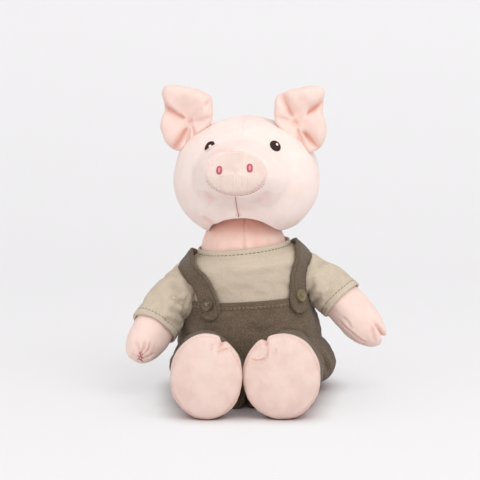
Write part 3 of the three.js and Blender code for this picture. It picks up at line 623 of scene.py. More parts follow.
@dataclass(frozen=True)
class StitchRow:
    """A row of stitches: one is modelled and the rest are copies of it."""

    length: float
    gap: float
    thick: float
    sink: float = 0.1

    def one(self) -> tuple[Array, list[tuple[int, ...]]]:
        """A single stitch along X, one long and one thick.

        Returns:
            Its points and faces.
        """
        only()
        bpy.ops.mesh.primitive_cylinder_add(vertices=6, radius=0.5, depth=1.0, rotation=(0, math.pi / 2, 0))
        stitch = bpy.context.object
        bpy.ops.object.transform_apply(location=False, rotation=True, scale=True)
        bpy.ops.object.mode_set(mode="EDIT")
        bpy.ops.mesh.select_all(action="DESELECT")
        shape = bmesh.from_edit_mesh(stitch.data)
        for edge in shape.edges:
            edge.select_set(abs(edge.verts[0].co.x - edge.verts[1].co.x) < 1e-4)
        bmesh.update_edit_mesh(stitch.data)
        bpy.ops.mesh.bevel(offset=0.22, segments=2, affect="EDGES")
        bpy.ops.object.mode_set(mode="OBJECT")
        points = np.array([v.co for v in stitch.data.vertices])
        points[:, 2] -= 0.5 * (2 * points[:, 0]) ** 2
        faces = [tuple(p.vertices) for p in stitch.data.polygons]
        bpy.data.objects.remove(stitch)
        return points, faces

    def sew(self, name: str, line: Array, cloth: Piece) -> Piece:
        """Sews a row along a line on a cloth.

        Args:
            name: The row's name.
            line: Where it runs, close to the cloth.
            cloth: What it is sewn through.

        Returns:
            The row as one piece.
        """
        surface = tree_of(cloth)
        points, faces = self.one()
        knots, along = spread_along(line, 0.5)
        count = max(1, int(along[-1] / (self.length + self.gap)))
        step = along[-1] / count
        all_points, all_faces = [], []
        for i in range(count):
            ends = []
            for far in (i * step + 0.5 * self.gap, (i + 1) * step - 0.5 * self.gap):
                spot = [float(np.interp(far, along, knots[:, k])) * MM for k in range(3)]
                place, facing, _, _ = surface.find_nearest(Vector(spot))
                ends.append((place / MM, facing))
            run = ends[1][0] - ends[0][0]
            if not 0.3 <= run.length / self.length <= 2.5:
                continue
            out = (ends[0][1] + ends[1][1]).normalized()
            along_x = run.normalized()
            across = out.cross(along_x).normalized()
            out = along_x.cross(across)
            middle = (ends[0][0] + ends[1][0]) / 2 + out * (self.thick / 2 - self.sink)
            size = np.array([run.length, self.thick, self.thick])
            base = len(all_points) * len(points)
            all_points.append((points * size) @ np.array([along_x, across, out]) + np.array(middle))
            all_faces += [tuple(base + v for v in f) for f in faces]
        return new_piece(name, np.vstack(all_points), all_faces)


TOPSTITCH = StitchRow(length=2.3, gap=0.8, thick=0.5)


# Finishes

class Net:
    """A shader tree, with short ways to add to it."""

    def __init__(self, tree: bpy.types.NodeTree) -> None:
        """Takes up a tree."""
        self.tree = tree

    def give(self, socket: Socket, value: object) -> None:
        """Gives an input a plain value or what another node puts out.

        Args:
            socket: The input.
            value: A plain value, or the output to link.
        """
        if isinstance(value, Socket):
            self.tree.links.new(value, socket)
        else:
            socket.default_value = value

    def node(
        self, kind: str, inputs: dict[str | int, object] | None = None, **settings: object
    ) -> bpy.types.bpy_prop_collection:
        """Adds a node.

        Args:
            kind: Its type, without the usual first word.
            inputs: A value, or a socket to be linked, for each of its inputs.
            **settings: Its own settings.

        Returns:
            Its outputs.
        """
        made = self.tree.nodes.new("ShaderNode" + kind)
        for name, value in settings.items():
            setattr(made, name, value)
        for name, value in (inputs or {}).items():
            self.give(made.inputs[name], value)
        return made.outputs

    def sum(self, operation: str, first: object, second: object = 0.0) -> Socket:
        """The answer of one sum on numbers or sockets."""
        return self.node("Math", {0: first, 1: second}, operation=operation)[0]

    def level(self, value: object, low: float, high: float) -> Socket:
        """How far a value is on its way from low to high, 0 to 1."""
        return self.node("MapRange", {"Value": value, "From Min": low, "From Max": high})[0]

    def mix(self, share: object, first: object, second: object) -> Socket:
        """A second colour laid over a first one by a share."""
        return self.node("Mix", {0: share, 6: first, 7: second}, data_type="RGBA")[2]

    def bump(self, height: object, strength: float, distance: float) -> Socket:
        """A relief from a height."""
        return self.node("Bump", {"Height": height, "Strength": strength, "Distance": distance})[0]

    def dress(self, layers: dict[str, object]) -> Socket:
        """Gives the main shader its inputs.

        Args:
            layers: Values and sockets by the name of the input.

        Returns:
            What the shader puts out.
        """
        shader = self.tree.nodes["Principled BSDF"]
        for socket, value in layers.items():
            self.give(shader.inputs[socket], value)
        return shader.outputs[0]


def start_material(name: str) -> tuple[Material, Net]:
    """A material with one plain shader, and the net of its nodes.

    Args:
        name: Its name.

    Returns:
        The material and its net.
    """
    material = bpy.data.materials.new(name)
    material.use_nodes = True
    return material, Net(material.node_tree)


class Effects:
    """Shared effects, each built once: the pile of plush, and the threads and flecks of cloth."""

    def __init__(self) -> None:
        """Builds them."""
        self.pile = self.group("Pile", {"Tuft": 0.7, "Patch": 14.0}, self.pile_of)
        self.knit = self.group("Knit", {"Columns": 17.0}, self.knit_of)
        self.twill = self.group("Twill", {"Ribs": 14.0}, self.twill_of)
        self.flecks = self.group("Flecks", {"Size": 0.9}, self.flecks_of)

    @staticmethod
    def group(name: str, inputs: dict[str, float], build: Callable[..., dict]) -> bpy.types.NodeTree:
        """Builds one effect with number sockets.

        Args:
            name: Its name.
            inputs: Each input and its usual value.
            build: What makes it from a net and its inputs, and gives each output.

        Returns:
            The group.
        """
        tree = bpy.data.node_groups.new(name, "ShaderNodeTree")
        sockets = tree.interface.new_socket
        for socket, value in inputs.items():
            sockets(socket, in_out="INPUT", socket_type="NodeSocketFloat").default_value = value
        start, end = tree.nodes.new("NodeGroupInput"), tree.nodes.new("NodeGroupOutput")
        for socket, value in build(Net(tree), *(start.outputs[name] for name in inputs)).items():
            sockets(socket, in_out="OUTPUT", socket_type="NodeSocketFloat")
            tree.links.new(value, end.inputs[socket])
        return tree

    @staticmethod
    def pile_of(net: Net, tuft: object, patch: object) -> dict[str, object]:
        """Short fibres that lie down, brushed one way here and another way there.

        Args:
            net: The group's net.
            tuft: Size of a tuft in millimetres.
            patch: Size of a brushed patch in millimetres.

        Returns:
            The pile's height and how far it is brushed over.
        """
        place = net.node("TexCoord")["Object"]
        fine = net.sum("DIVIDE", 1000.0, tuft)
        broad = net.sum("DIVIDE", 1000.0, patch)
        patches = net.node("TexNoise", {"Vector": place, "Scale": broad, "Detail": 3.0, "Roughness": 0.55})
        swept = net.node("VectorMath", {0: patches["Color"], 1: (0.003, 0.003, 0.006)}, operation="MULTIPLY")
        lie = net.node("VectorMath", {0: place, 1: swept[0]}, operation="ADD")
        flat = net.node("Mapping", {"Vector": lie[0], "Scale": (1.0, 1.0, 0.45)})
        tufts = net.node("TexNoise", {"Vector": flat[0], "Scale": fine, "Detail": 3.0, "Roughness": 0.7})
        clumps = net.node("TexNoise", {"Vector": place, "Scale": net.sum("MULTIPLY", fine, 0.22)})
        nap = net.node(
            "MapRange", {"Value": patches["Fac"], "From Min": 0.35, "From Max": 0.68},
            interpolation_type="SMOOTHSTEP",
        )
        height = net.sum("ADD", tufts["Fac"], net.sum("MULTIPLY", clumps["Fac"], 0.8))
        return {"Height": height, "Nap": nap[0]}

    @staticmethod
    def threads_of(net: Net, per_cm: object) -> list[Socket]:
        """Threads counted across and along the cloth, from its own layout."""
        place = net.node("SeparateXYZ", {0: net.node("UVMap", uv_map="cloth")[0]})
        return [net.sum("MULTIPLY", place[k], per_cm) for k in (0, 1)]

    @classmethod
    def knit_of(cls, net: Net, columns: object) -> dict[str, object]:
        """Fine columns of knitted loops.

        Args:
            net: The group's net.
            columns: Columns in a centimetre.

        Returns:
            The height of the loops.
        """
        u, v = cls.threads_of(net, columns)
        lean = net.sum("PINGPONG", u, 0.5)
        loop = net.sum("PINGPONG", net.sum("FRACT", net.sum("ADD", v, lean)), 0.5)
        column = net.sum("SINE", net.sum("MULTIPLY", lean, math.pi * 2))
        return {"Height": net.sum("ADD", net.sum("MULTIPLY", loop, 0.8), net.sum("MULTIPLY", column, 0.6))}

    @classmethod
    def twill_of(cls, net: Net, ribs: object) -> dict[str, object]:
        """Slanting ribs with the threads of the weft between them.

        Args:
            net: The group's net.
            ribs: Ribs in a centimetre.

        Returns:
            The height of the threads.
        """
        u, v = cls.threads_of(net, ribs)
        rib = net.sum("PINGPONG", net.sum("ADD", u, v), 0.5)
        weft = net.sum("PINGPONG", net.sum("MULTIPLY", v, 2.0), 0.5)
        return {"Height": net.sum("ADD", rib, net.sum("MULTIPLY", weft, 0.5))}

    @staticmethod
    def flecks_of(net: Net, size: object) -> dict[str, object]:
        """Paler and darker fibres spun into a mixed yarn.

        Args:
            net: The group's net.
            size: Size of a fleck in millimetres.

        Returns:
            Where it is pale and where it is dark, and a broad cloud.
        """
        place = net.node("TexCoord")["Object"]
        scale = net.sum("DIVIDE", 1000.0, size)
        yarn = net.node("TexNoise", {"Vector": place, "Scale": scale, "Detail": 2.0, "Roughness": 0.6})["Fac"]
        cloud = net.node("TexNoise", {"Vector": place, "Scale": 55.0, "Detail": 3.0})["Fac"]
        return {"Pale": net.level(yarn, 0.53, 0.78), "Dark": net.level(yarn, 0.47, 0.25), "Cloud": cloud}


@dataclass(frozen=True)
class Finish:
    """What every finish shares: a name, a colour and a material that is dressed in layers."""

    name: str
    colour: Colour

    def layers(self, net: Net, effects: Effects) -> dict[str, object]:
        """What each input of the shader gets, by the name of the input."""
        raise NotImplementedError

    def make(self, effects: Effects) -> Material:
        """Builds the material.

        Args:
            effects: The shared effects.

        Returns:
            The material.
        """
        material, net = start_material(self.name)
        net.dress({"Specular IOR Level": 0.25, **self.layers(net, effects)})
        return material


@dataclass(frozen=True)
class PlushFinish(Finish):
    """Short soft pile, deeper in colour where it is brushed away, with painted shade in the folds."""

    colour: Colour = (244, 218, 208)
    brushed: Colour = (241, 212, 201)
    # painted shade: the deeper, warmer pink laid over the folds and seams
    folded: Colour = (220, 158, 142)
    tuft: float = 0.7
    patch: float = 16.0

    def layers(self, net: Net, effects: Effects) -> dict[str, object]:
        """Pile with its folds.

        Args:
            net: The material's net.
            effects: The shared effects.

        Returns:
            Values and sockets by the name of the shader's input.
        """
        pile = net.node("Group", {"Tuft": self.tuft, "Patch": self.patch}, node_tree=effects.pile)
        # the fold marks lay the folded colour on as painted shade
        fold = net.node("Attribute", attribute_name="fold")["Fac"]
        colour = net.mix(pile["Nap"], linear(*self.colour), linear(*self.brushed))
        return {
            "Base Color": net.mix(fold, colour, linear(*self.folded)),
            "Roughness": 0.95,
            "Normal": net.bump(pile["Height"], 0.5, 0.0006),
            "Sheen Weight": 0.35,
            "Sheen Roughness": 0.45,
            "Sheen Tint": linear(255, 240, 236),
        }


@dataclass(frozen=True)
class ClothFinish(Finish):
    """Woven or knitted cotton in a mixed yarn."""

    pale: Colour
    dark: Colour
    knitted: bool = True
    threads: float = 16.0
    fleck: float = 0.55
    relief: float = 0.00025

    def layers(self, net: Net, effects: Effects) -> dict[str, object]:
        """Threads and flecks, with painted shade between the threads and in the folds.

        Args:
            net: The material's net.
            effects: The shared effects.

        Returns:
            Values and sockets by the name of the shader's input.
        """
        weave = effects.knit if self.knitted else effects.twill
        threads = net.node("Group", {0: self.threads}, node_tree=weave)[0]
        flecks = net.node("Group", {"Size": self.fleck}, node_tree=effects.flecks)
        base = net.mix(net.level(flecks["Cloud"], 0.3, 0.7), linear(*self.colour), shaded(self.colour, 0.94))
        # painted shade: darker where the threads dip between one another
        base = net.mix(net.level(threads, 0.1, 0.7), shaded(self.colour, 0.88), base)
        base = net.mix(flecks["Pale"], base, linear(*self.pale))
        base = net.mix(flecks["Dark"], base, linear(*self.dark))
        # painted shade: a dark tone laid over the fold marks
        fold = net.sum("MULTIPLY", net.node("Attribute", attribute_name="fold")["Fac"], 0.55)
        return {
            "Base Color": net.mix(fold, base, shaded(self.dark, 0.7)),
            "Roughness": 0.9,
            "Normal": net.bump(threads, 0.6, self.relief),
            "Sheen Weight": 0.12,
            "Sheen Roughness": 0.5,
        }


@dataclass(frozen=True)
class ThreadFinish(Finish):
    """Twisted thread with a soft shine."""

    shade: Colour
    sheen: float = 0.2

    def layers(self, net: Net, effects: Effects) -> dict[str, object]:
        """Strands in two tones.

        Args:
            net: The material's net.
            effects: The shared effects.

        Returns:
            Values and sockets by the name of the shader's input.
        """
        flecks = net.node("Group", {"Size": 0.35}, node_tree=effects.flecks)
        base = net.mix(flecks["Cloud"], linear(*self.colour), linear(*self.shade))
        return {
            "Base Color": net.mix(flecks["Dark"], base, linear(*self.shade)),
            "Roughness": 0.6,
            "Normal": net.bump(flecks["Pale"], 0.4, 0.0001),
            "Sheen Weight": self.sheen,
        }


@dataclass(frozen=True)
class ButtonFinish(Finish):
    """Moulded button with a fine grain and rubbed patches."""

    rubbed: Colour

    def layers(self, net: Net, effects: Effects) -> dict[str, object]:
        """Worn and unworn places with a grain.

        Args:
            net: The material's net.
            effects: The shared effects.

        Returns:
            Values and sockets by the name of the shader's input.
        """
        flecks = net.node("Group", {"Size": 0.5}, node_tree=effects.flecks)
        base = net.mix(net.level(flecks["Cloud"], 0.4, 0.65), linear(*self.colour), linear(*self.rubbed))
        rough = net.node("MapRange", {"Value": flecks["Cloud"], "To Min": 0.35, "To Max": 0.6})[0]
        return {
            "Base Color": net.mix(flecks["Dark"], base, shaded(self.colour, 0.8)),
            "Roughness": rough,
            "Normal": net.bump(flecks["Pale"], 0.3, 0.00006),
            "Specular IOR Level": 0.5,
        }


class Wardrobe:
    """Every finish on the toy, built once."""

    def __init__(self) -> None:
        """Builds the finishes."""
        effects = Effects()
        self.plush = PlushFinish("pink_plush").make(effects)
        self.face = PlushFinish("face_plush", colour=(248, 231, 224), brushed=(245, 225, 217)).make(effects)
        # the neck's plush: a warmer, deeper copy of the pink plush, as painted shade from the head above it
        self.shade = PlushFinish("neck_plush", colour=(247, 218, 204), brushed=(243, 207, 192)).make(effects)
        self.snout = PlushFinish("snout_plush", colour=(235, 216, 206), brushed=(226, 202, 193)).make(effects)
        self.sole = PlushFinish(
            "sole_plush", colour=(234, 209, 199), brushed=(228, 200, 189), patch=11.0
        ).make(effects)
        self.jersey = ClothFinish(
            "sand_jersey", colour=(220, 204, 182), pale=(231, 219, 201), dark=(202, 186, 162)
        ).make(effects)
        self.twill = ClothFinish(
            "brown_twill", colour=(114, 98, 81), pale=(156, 138, 116), dark=(74, 61, 49),
            knitted=False, threads=13.0, fleck=0.65, relief=0.0003,
        ).make(effects)
        self.dark_thread = ThreadFinish("dark_thread", (92, 76, 58), (66, 54, 42)).make(effects)
        self.pale_thread = ThreadFinish("pale_thread", (158, 142, 116), (128, 112, 88)).make(effects)
        self.seam_thread = ThreadFinish("seam_thread", (212, 146, 142), (180, 112, 112)).make(effects)
        self.seam_brown = ThreadFinish("seam_brown", (146, 104, 92), (112, 74, 64), sheen=0.05).make(effects)
        self.eye = ThreadFinish("eye_thread", (62, 36, 30), (36, 20, 17), sheen=0.0).make(effects)
        self.glint = ThreadFinish("glint_thread", (250, 248, 244), (226, 222, 216)).make(effects)
        self.rose = ThreadFinish("rose_thread", (200, 98, 114), (172, 78, 94)).make(effects)
        self.pale_rose = ThreadFinish("pale_rose_thread", (244, 158, 166), (226, 134, 146)).make(effects)
        self.button = ButtonFinish("button", (92, 78, 58), (132, 118, 86)).make(effects)


# Forms that several pieces share

@dataclass(frozen=True)
class TorsoForm:
    """The stuffed pear that the clothes are cut for. It slumps to the pig's right."""

    height: float = 110.0
    half_width: float = 57.5
    half_depth: float = 40.0
    y: float = -16.0
    lean: float = -3.0
    drift: float = 2.0
    tilt: float = math.radians(6)
    square: float = 2.35
    shares: tuple[tuple[float, ...], ...] = (
        (0.0, 0.75, 0.74, 0.0), (0.07, 0.9, 0.9, 0.0), (0.16, 1.0, 0.98, 0.0), (0.27, 0.98, 1.0, 0.0),
        (0.38, 0.91, 0.98, 0.05), (0.49, 0.82, 0.94, 0.15), (0.6, 0.75, 0.91, 0.3),
        (0.71, 0.735, 0.9, 0.5), (0.82, 0.76, 0.91, 0.75), (0.88, 0.765, 0.92, 0.9),
        (0.93, 0.69, 0.9, 1.0), (0.97, 0.61, 0.86, 1.0), (1.0, 0.55, 0.82, 1.0),
    )
    tucks: tuple[tuple[float, ...], ...] = ((-1, 5.6, 33, 15), (1, 4.6, 40, 12))

    def slumped(self, points: Array) -> Array:
        """Points after the torso has sunk to one side.

        Args:
            points: Points of an upright torso.

        Returns:
            The same points, lower on the pig's right and higher on its left.
        """
        out = np.array(points, float)
        for side, deep, height, spread in self.tucks:
            outer = smoothstep(side * out[..., 0], 20, 55)
            out[..., 0] -= side * deep * outer * bump(out[..., 2] - height, spread)
        out[..., 2] += (out[..., 0] - self.lean) * math.tan(self.tilt) * smoothstep(out[..., 2], 35, 102)
        return out

    def rings(self, heights: Array, grow: Array | float, sides: int) -> Array:
        """Rings round the torso.

        Args:
            heights: Height of each ring.
            grow: How far each ring lies outside the stuffed bag.
            sides: Points round a ring.

        Returns:
            The rings, slumped.
        """
        heights = np.asarray(heights, float)
        sizes = smooth_table(self.shares)(heights / self.height)
        x = self.drift + (self.lean - self.drift) * sizes[:, 2]
        wide = sizes[:, 0] * self.half_width + grow
        deep = sizes[:, 1] * self.half_depth + grow
        return self.slumped(ovals(x, self.y, heights, wide, deep, sides, self.square))

    def on_bag(self, z: float, angle: float) -> Array:
        """One point on the bag.

        Args:
            z: Height before the slump.
            angle: Direction in radians, from the pig's left side.

        Returns:
            The point.
        """
        sizes = smooth_table(self.shares)(np.array([z / self.height]))[0]
        c, s = (math.copysign(abs(v) ** (2 / self.square), v) for v in (math.cos(angle), math.sin(angle)))
        x = self.drift + (self.lean - self.drift) * sizes[2]
        return self.slumped([x + sizes[0] * self.half_width * c, self.y + sizes[1] * self.half_depth * s, z])

    def place(self, z: float, degrees: float, grow: float) -> tuple[Array, Array]:
        """A point over the torso.

        Args:
            z: Height before the slump.
            degrees: Direction, from the pig's left side towards its back.
            grow: Distance from the bag.

        Returns:
            The point and the way the cloth faces there.
        """
        at, angle = self.on_bag, math.radians(degrees)
        level, upward = at(z, angle + 0.01) - at(z, angle - 0.01), at(z + 1, angle) - at(z - 1, angle)
        facing = unit(np.cross(level, upward))
        return at(z, angle) + grow * facing, facing

    def around(self, z: float, grow: float) -> Array:
        """A level line round the torso."""
        return np.array([self.place(z, d, grow)[0] for d in np.linspace(-180, 180, 90)])

    def upright(self, heights: Sequence[float], degrees: float, grow: float) -> Array:
        """A line up the torso on one side of it."""
        return smooth_line([self.place(z, degrees, grow)[0] for z in heights])


TORSO = TorsoForm()


def dress(piece: Piece, slot: Slot, finish: Material, *replaced: str) -> Piece:
    """Gives a finished piece its material and hides the CAD nodes that it stands for.

    Args:
        piece: The piece.
        slot: Not used.
        finish: The material.
        *replaced: CAD nodes that it replaces.

    Returns:
        The piece.
    """
    piece.data.materials.clear()
    piece.data.materials.append(finish)
    if replaced:
        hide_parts(*replaced)
    log.info("%s: %d faces", piece.name, len(piece.data.polygons))
    return piece


def ride(body: str, *pieces: Piece) -> None:
    """Lets pieces move with one body."""
    for piece in pieces:
        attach(piece, body)


# Sub-assemblies

@dataclass
class StuffedBody:
    """The plush bag under the clothes, which takes the place of the torso's skin, filling and pouch of
    pellets.
    """

    wardrobe: Wardrobe
    grow: float = -0.4

    def build(self) -> None:
        """Makes the bag."""
        heights = np.concatenate([[0.0, 1.0, 3.0], np.linspace(6, 104, 26)])
        bag = sewn("body_bag", TORSO.rings(heights, self.grow, 56))
        held = 1 - smoothstep(read_points(bag)[:, 2], 1, 6)
        Stuffing(pressure=3.0, frames=8, most=0.3).fill(bag, np.maximum(held, 0.5))
        shaped = Sculptor(bag)
        for degrees in (2, 178):
            shaped.seam(TORSO.upright(range(6, 100, 6), degrees, self.grow), 0.6, 1.2)
        shaped.done()
        dress(bag, Slot.PLUSH, self.wardrobe.plush, "torso_skin", "torso_filling", "seat_pellet_pouch")
        ride("torso", bag)


@dataclass
class Shirt:
    """The body of the T-shirt and the turned band of its neck."""

    wardrobe: Wardrobe
    grow: float = 1.7
    hem: float = 38.0
    neck_radius: float = 33.4
    seam_radius: float = 35.5
    seam_height: float = 106.4
    collar: tuple[tuple[float, float], ...] = (
        (34.9, 99.5), (35.5, 102.3), (35.4, 104.8), (34.9, 107.4), (34.4, 109.0), (33.8, 109.7),
        (33.2, 109.2), (32.9, 107.0), (33.1, 103.0),
    )
    creases: tuple[tuple, ...] = (
        ((75, 24), (89, 44), 1.0), ((84, 16), (97, 34), 0.7), ((76, 35), (80, 58), 0.6),
    )

    def neck_ring(self, radius: float, z: float, sides: int) -> Array:
        """A slumped round ring about the neck."""
        return TORSO.slumped(ovals(CENTRE[0], CENTRE[1], np.array([z]), radius, radius, sides))

    def make_body(self) -> Piece:
        """The body, from under the bib to the neck.

        Returns:
            The body.
        """
        sides = 112
        rings = [TORSO.rings(np.linspace(self.hem, 102.5, 40), self.grow, sides)]
        for z, extra in ((104.9, 1.3), (106.4, 0.0)):
            rings.append(self.neck_ring(self.neck_radius + extra, z, sides))
        body = sewn("shirt_body_cloth", np.concatenate(rings))
        z = read_points(body)[:, 2]
        held = np.maximum(1 - smoothstep(z, 74, 80), smoothstep(z, 97, 103))
        return Stuffing(pressure=2.5, frames=14, most=1.2, shrink=-0.02, caps=2).fill(body, held)

    def shape_body(self, body: Piece) -> None:
        """Adds the folds that run from the armholes and under the straps.

        Args:
            body: The shirt's body.
        """
        shaped = Sculptor(body)
        for side in (1, -1):
            for low, high, depth in self.creases:
                line = [
                    TORSO.place(z, -90 + side * (90 - across), self.grow)[0]
                    for z, across in np.linspace(low, high, 5)
                ]
                shaped.seam(smooth_line(line), depth, 1.8, lip=0.4, fade=7)
        shaped.rumple(0.5, 17, 1.3, smoothstep(shaped.points[:, 2], 72, 82))
        shaped.done()

    def make_collar(self) -> Piece:
        """The turned band round the neck.

        Returns:
            The band.
        """
        steps = np.linspace(0, len(self.collar) - 1, 33)
        table = smooth_table([(i, *row) for i, row in enumerate(self.collar)])(steps)
        rings = np.concatenate([self.neck_ring(r, z, 160) for r, z in table])
        shaped = Sculptor(sewn("collar_band", rings, capped=False))
        p = shaped.points
        away = np.abs(p[:, 2] - TORSO.slumped(p * [1, 1, 0] + [0, 0, self.seam_height])[:, 2])
        turn = np.arctan2(p[:, 1] - CENTRE[1], p[:, 0] - CENTRE[0])
        outside = np.linalg.norm(p[:, :2] - CENTRE[:2], axis=1) > self.neck_radius + 0.2
        shaped.push(-0.45 * bump(away, 0.8) * outside)
        shaped.push(0.12 * np.sin(turn * 56) * outside)
        return shaped.done()

    def build(self) -> None:
        """Makes the shirt's body, band and stitches."""
        body, band = self.make_body(), self.make_collar()
        self.shape_body(body)
        dress(body, Slot.JERSEY, self.wardrobe.jersey, "shirt_body")
        dress(band, Slot.JERSEY, self.wardrobe.jersey, "shirt_collar")
        line = closed_line(self.neck_ring(self.seam_radius, self.seam_height, 120)[0])
        row = StitchRow(length=2.1, gap=1.0, thick=0.45).sew("collar_stitches", line, band)
        ride("torso", body, band, dress(row, Slot.JERSEY, self.wardrobe.dark_thread))


@dataclass(frozen=True)
class View:
    """Where the toy is looked at from: from the front and a little above."""

    aim: tuple[float, float, float] = (-6.0, -16.0, 112.0)
    distance: float = 1300.0
    rise: float = math.radians(8)
    frame_width: float = 360.0

    @property
    def eye(self) -> Array:
        """The place of the eye."""
        return np.array(self.aim) + self.distance * np.array([0, -math.cos(self.rise), math.sin(self.rise)])

    def drawn(self, piece: Piece, marks: Sequence[tuple[float, float]]) -> Array:
        """A line drawn on a piece as it is seen from here.

        Args:
            piece: The piece.
            marks: Millimetres to the right of the middle of the view and above it.

        Returns:
            Points on the piece's surface.
        """
        surface = tree_of(piece)
        up = np.array([0, math.sin(self.rise), math.cos(self.rise)])
        found = []
        for across, rise, _ in smooth_line([(*mark, 0.0) for mark in marks], 1.5):
            target = np.array(self.aim) + across * np.array([1.0, 0, 0]) + rise * up
            way = Vector(target - self.eye).normalized()
            place = surface.ray_cast(Vector(self.eye * MM), way)[0]
            if place is not None:
                found.append(np.array(place) / MM)
        return np.array(found)


FRONT = View()

# Folds and seams in the front view: marks right of its middle and above it, then depth and width

FOLDS_ON_BODY = (
    (((58.5, -84), (63, -91.5), (67.5, -99), (69.8, -103.5)), 1.6, 2.6),
    (((45, -67.5), (51, -76.5), (57, -84)), 0.7, 2.4),
    (((-30, -58.5), (-21, -61.5), (-10.5, -61.5)), 0.6, 2.0),
    (((0, -64.5), (12, -67.5), (27, -66)), 0.7, 2.6),
    (((-42, -67.5), (-37.5, -75), (-33, -78.8)), 0.8, 2.4),
    (((16.5, -73.5), (21, -69), (30, -64.5)), 0.6, 2.2),
)
FOLDS_ON_SLEEVES = {
    Side.LEFT: (
        (((48, -49.5), (51.8, -39), (57.0, -31.5)), 1.7, 2.0),
        (((48.8, -55.5), (55, -47.8), (62.5, -43.2)), 1.3, 2.2),
        (((49.5, -58.5), (57, -54.2), (66.5, -51.2)), 1.2, 2.2),
        (((57, -22.5), (61.5, -16.5), (69.8, -14.2)), 0.8, 2.0),
    ),
    Side.RIGHT: (
        (((-39, -61.5), (-46.5, -54), (-55.5, -49.5)), 1.6, 2.4),
        (((-39, -52.5), (-46.5, -45), (-54, -39.8)), 1.4, 2.2),
        (((-40.5, -42), (-48, -36), (-52.5, -30)), 1.0, 2.2),
        (((-42, -66), (-49.5, -61.5), (-60, -58.5)), 1.2, 2.0),
    ),
}
FOLDS_ON_HANDS = {
    Side.LEFT: (
        (((74.2, -60.8), (82.5, -68.2), (88.5, -73.5), (95.2, -77.2)), 0.7, 0.9),
        (((76.5, -57), (81, -61.5), (84, -67.5)), 0.4, 1.0),
        (((100.5, -76.5), (99.8, -70.5), (98.2, -64.5)), 0.9, 1.1),
    ),
    Side.RIGHT: (
        (((-75.0, -87), (-76.4, -81.5), (-78.6, -75.5)), 1.0, 1.0),
        (((-73.6, -86.2), (-71.5, -80), (-71.2, -74.5)), 0.9, 0.9),
        (((-73.0, -87.0), (-68.6, -82.2), (-66.8, -76.0)), 0.6, 0.8),
        (((-72.4, -88.5), (-67.6, -87.4), (-63.2, -84.2)), 0.6, 1.0),
        (((-76.5, -88.6), (-79.5, -87.4), (-81.8, -85.0)), 0.7, 0.9),
    ),
}
KNOT_ON_HAND = (
    ((-75.6, -83.6), (-73.4, -90.2)), ((-72.6, -85.0), (-77.2, -90.0)),
    ((-77.8, -86.6), (-72.0, -88.4)), ((-73.8, -83.0), (-75.2, -87.0)), ((-76.4, -88.6), (-72.4, -91.2)),
)
FOLDS_ON_SOLES = {
    Side.LEFT: (
        (((18.5, -79.1), (20.5, -83.2), (19.9, -87.9), (14, -90.5), (7.4, -89.2)), 0.7, 0.5),
        (((25.8, -79.9), (27, -83.2), (26.2, -87)), 0.5, 0.5),
        (((16.5, -80.2), (12, -82.5), (8.2, -84.8)), 0.3, 0.6),
    ),
    Side.RIGHT: (
        (((-12.8, -76.5), (-12.4, -80), (-14.5, -83.5), (-18.5, -84.5)), 0.7, 0.5),
        (((-22.2, -76.9), (-21, -80), (-22.6, -84.3)), 0.5, 0.5),
        (((-14.5, -83.5), (-9.5, -82), (-3.2, -84.2)), 0.7, 0.5),
        (((-11.5, -85.5), (-12.5, -88.5)), 0.4, 0.5),
    ),
}
MOUTH_SEAM = ((-3.3, 32.6), (-2.9, 27.8), (-2, 22.5), (-0.8, 16.9))
FOLDS_ON_FACE = (
    (((-27.8, 67.1), (-24, 67.5), (-19.5, 70.1), (-16.5, 72.8)), 0.7, 1.3),
    (((-26.2, 60), (-21, 64.5), (-13.5, 67.5), (-3, 66.8)), 0.5, 3.5),
    (((-27, 37.5), (-24, 32.2), (-18, 27.8)), 0.8, 4.0),
    (((21, 37.5), (16.5, 30.8), (10.5, 26.2)), 0.6, 4.0),
    (((-30, 18), (-24, 13.5), (-19.5, 11.2)), 0.7, 2.5),
)


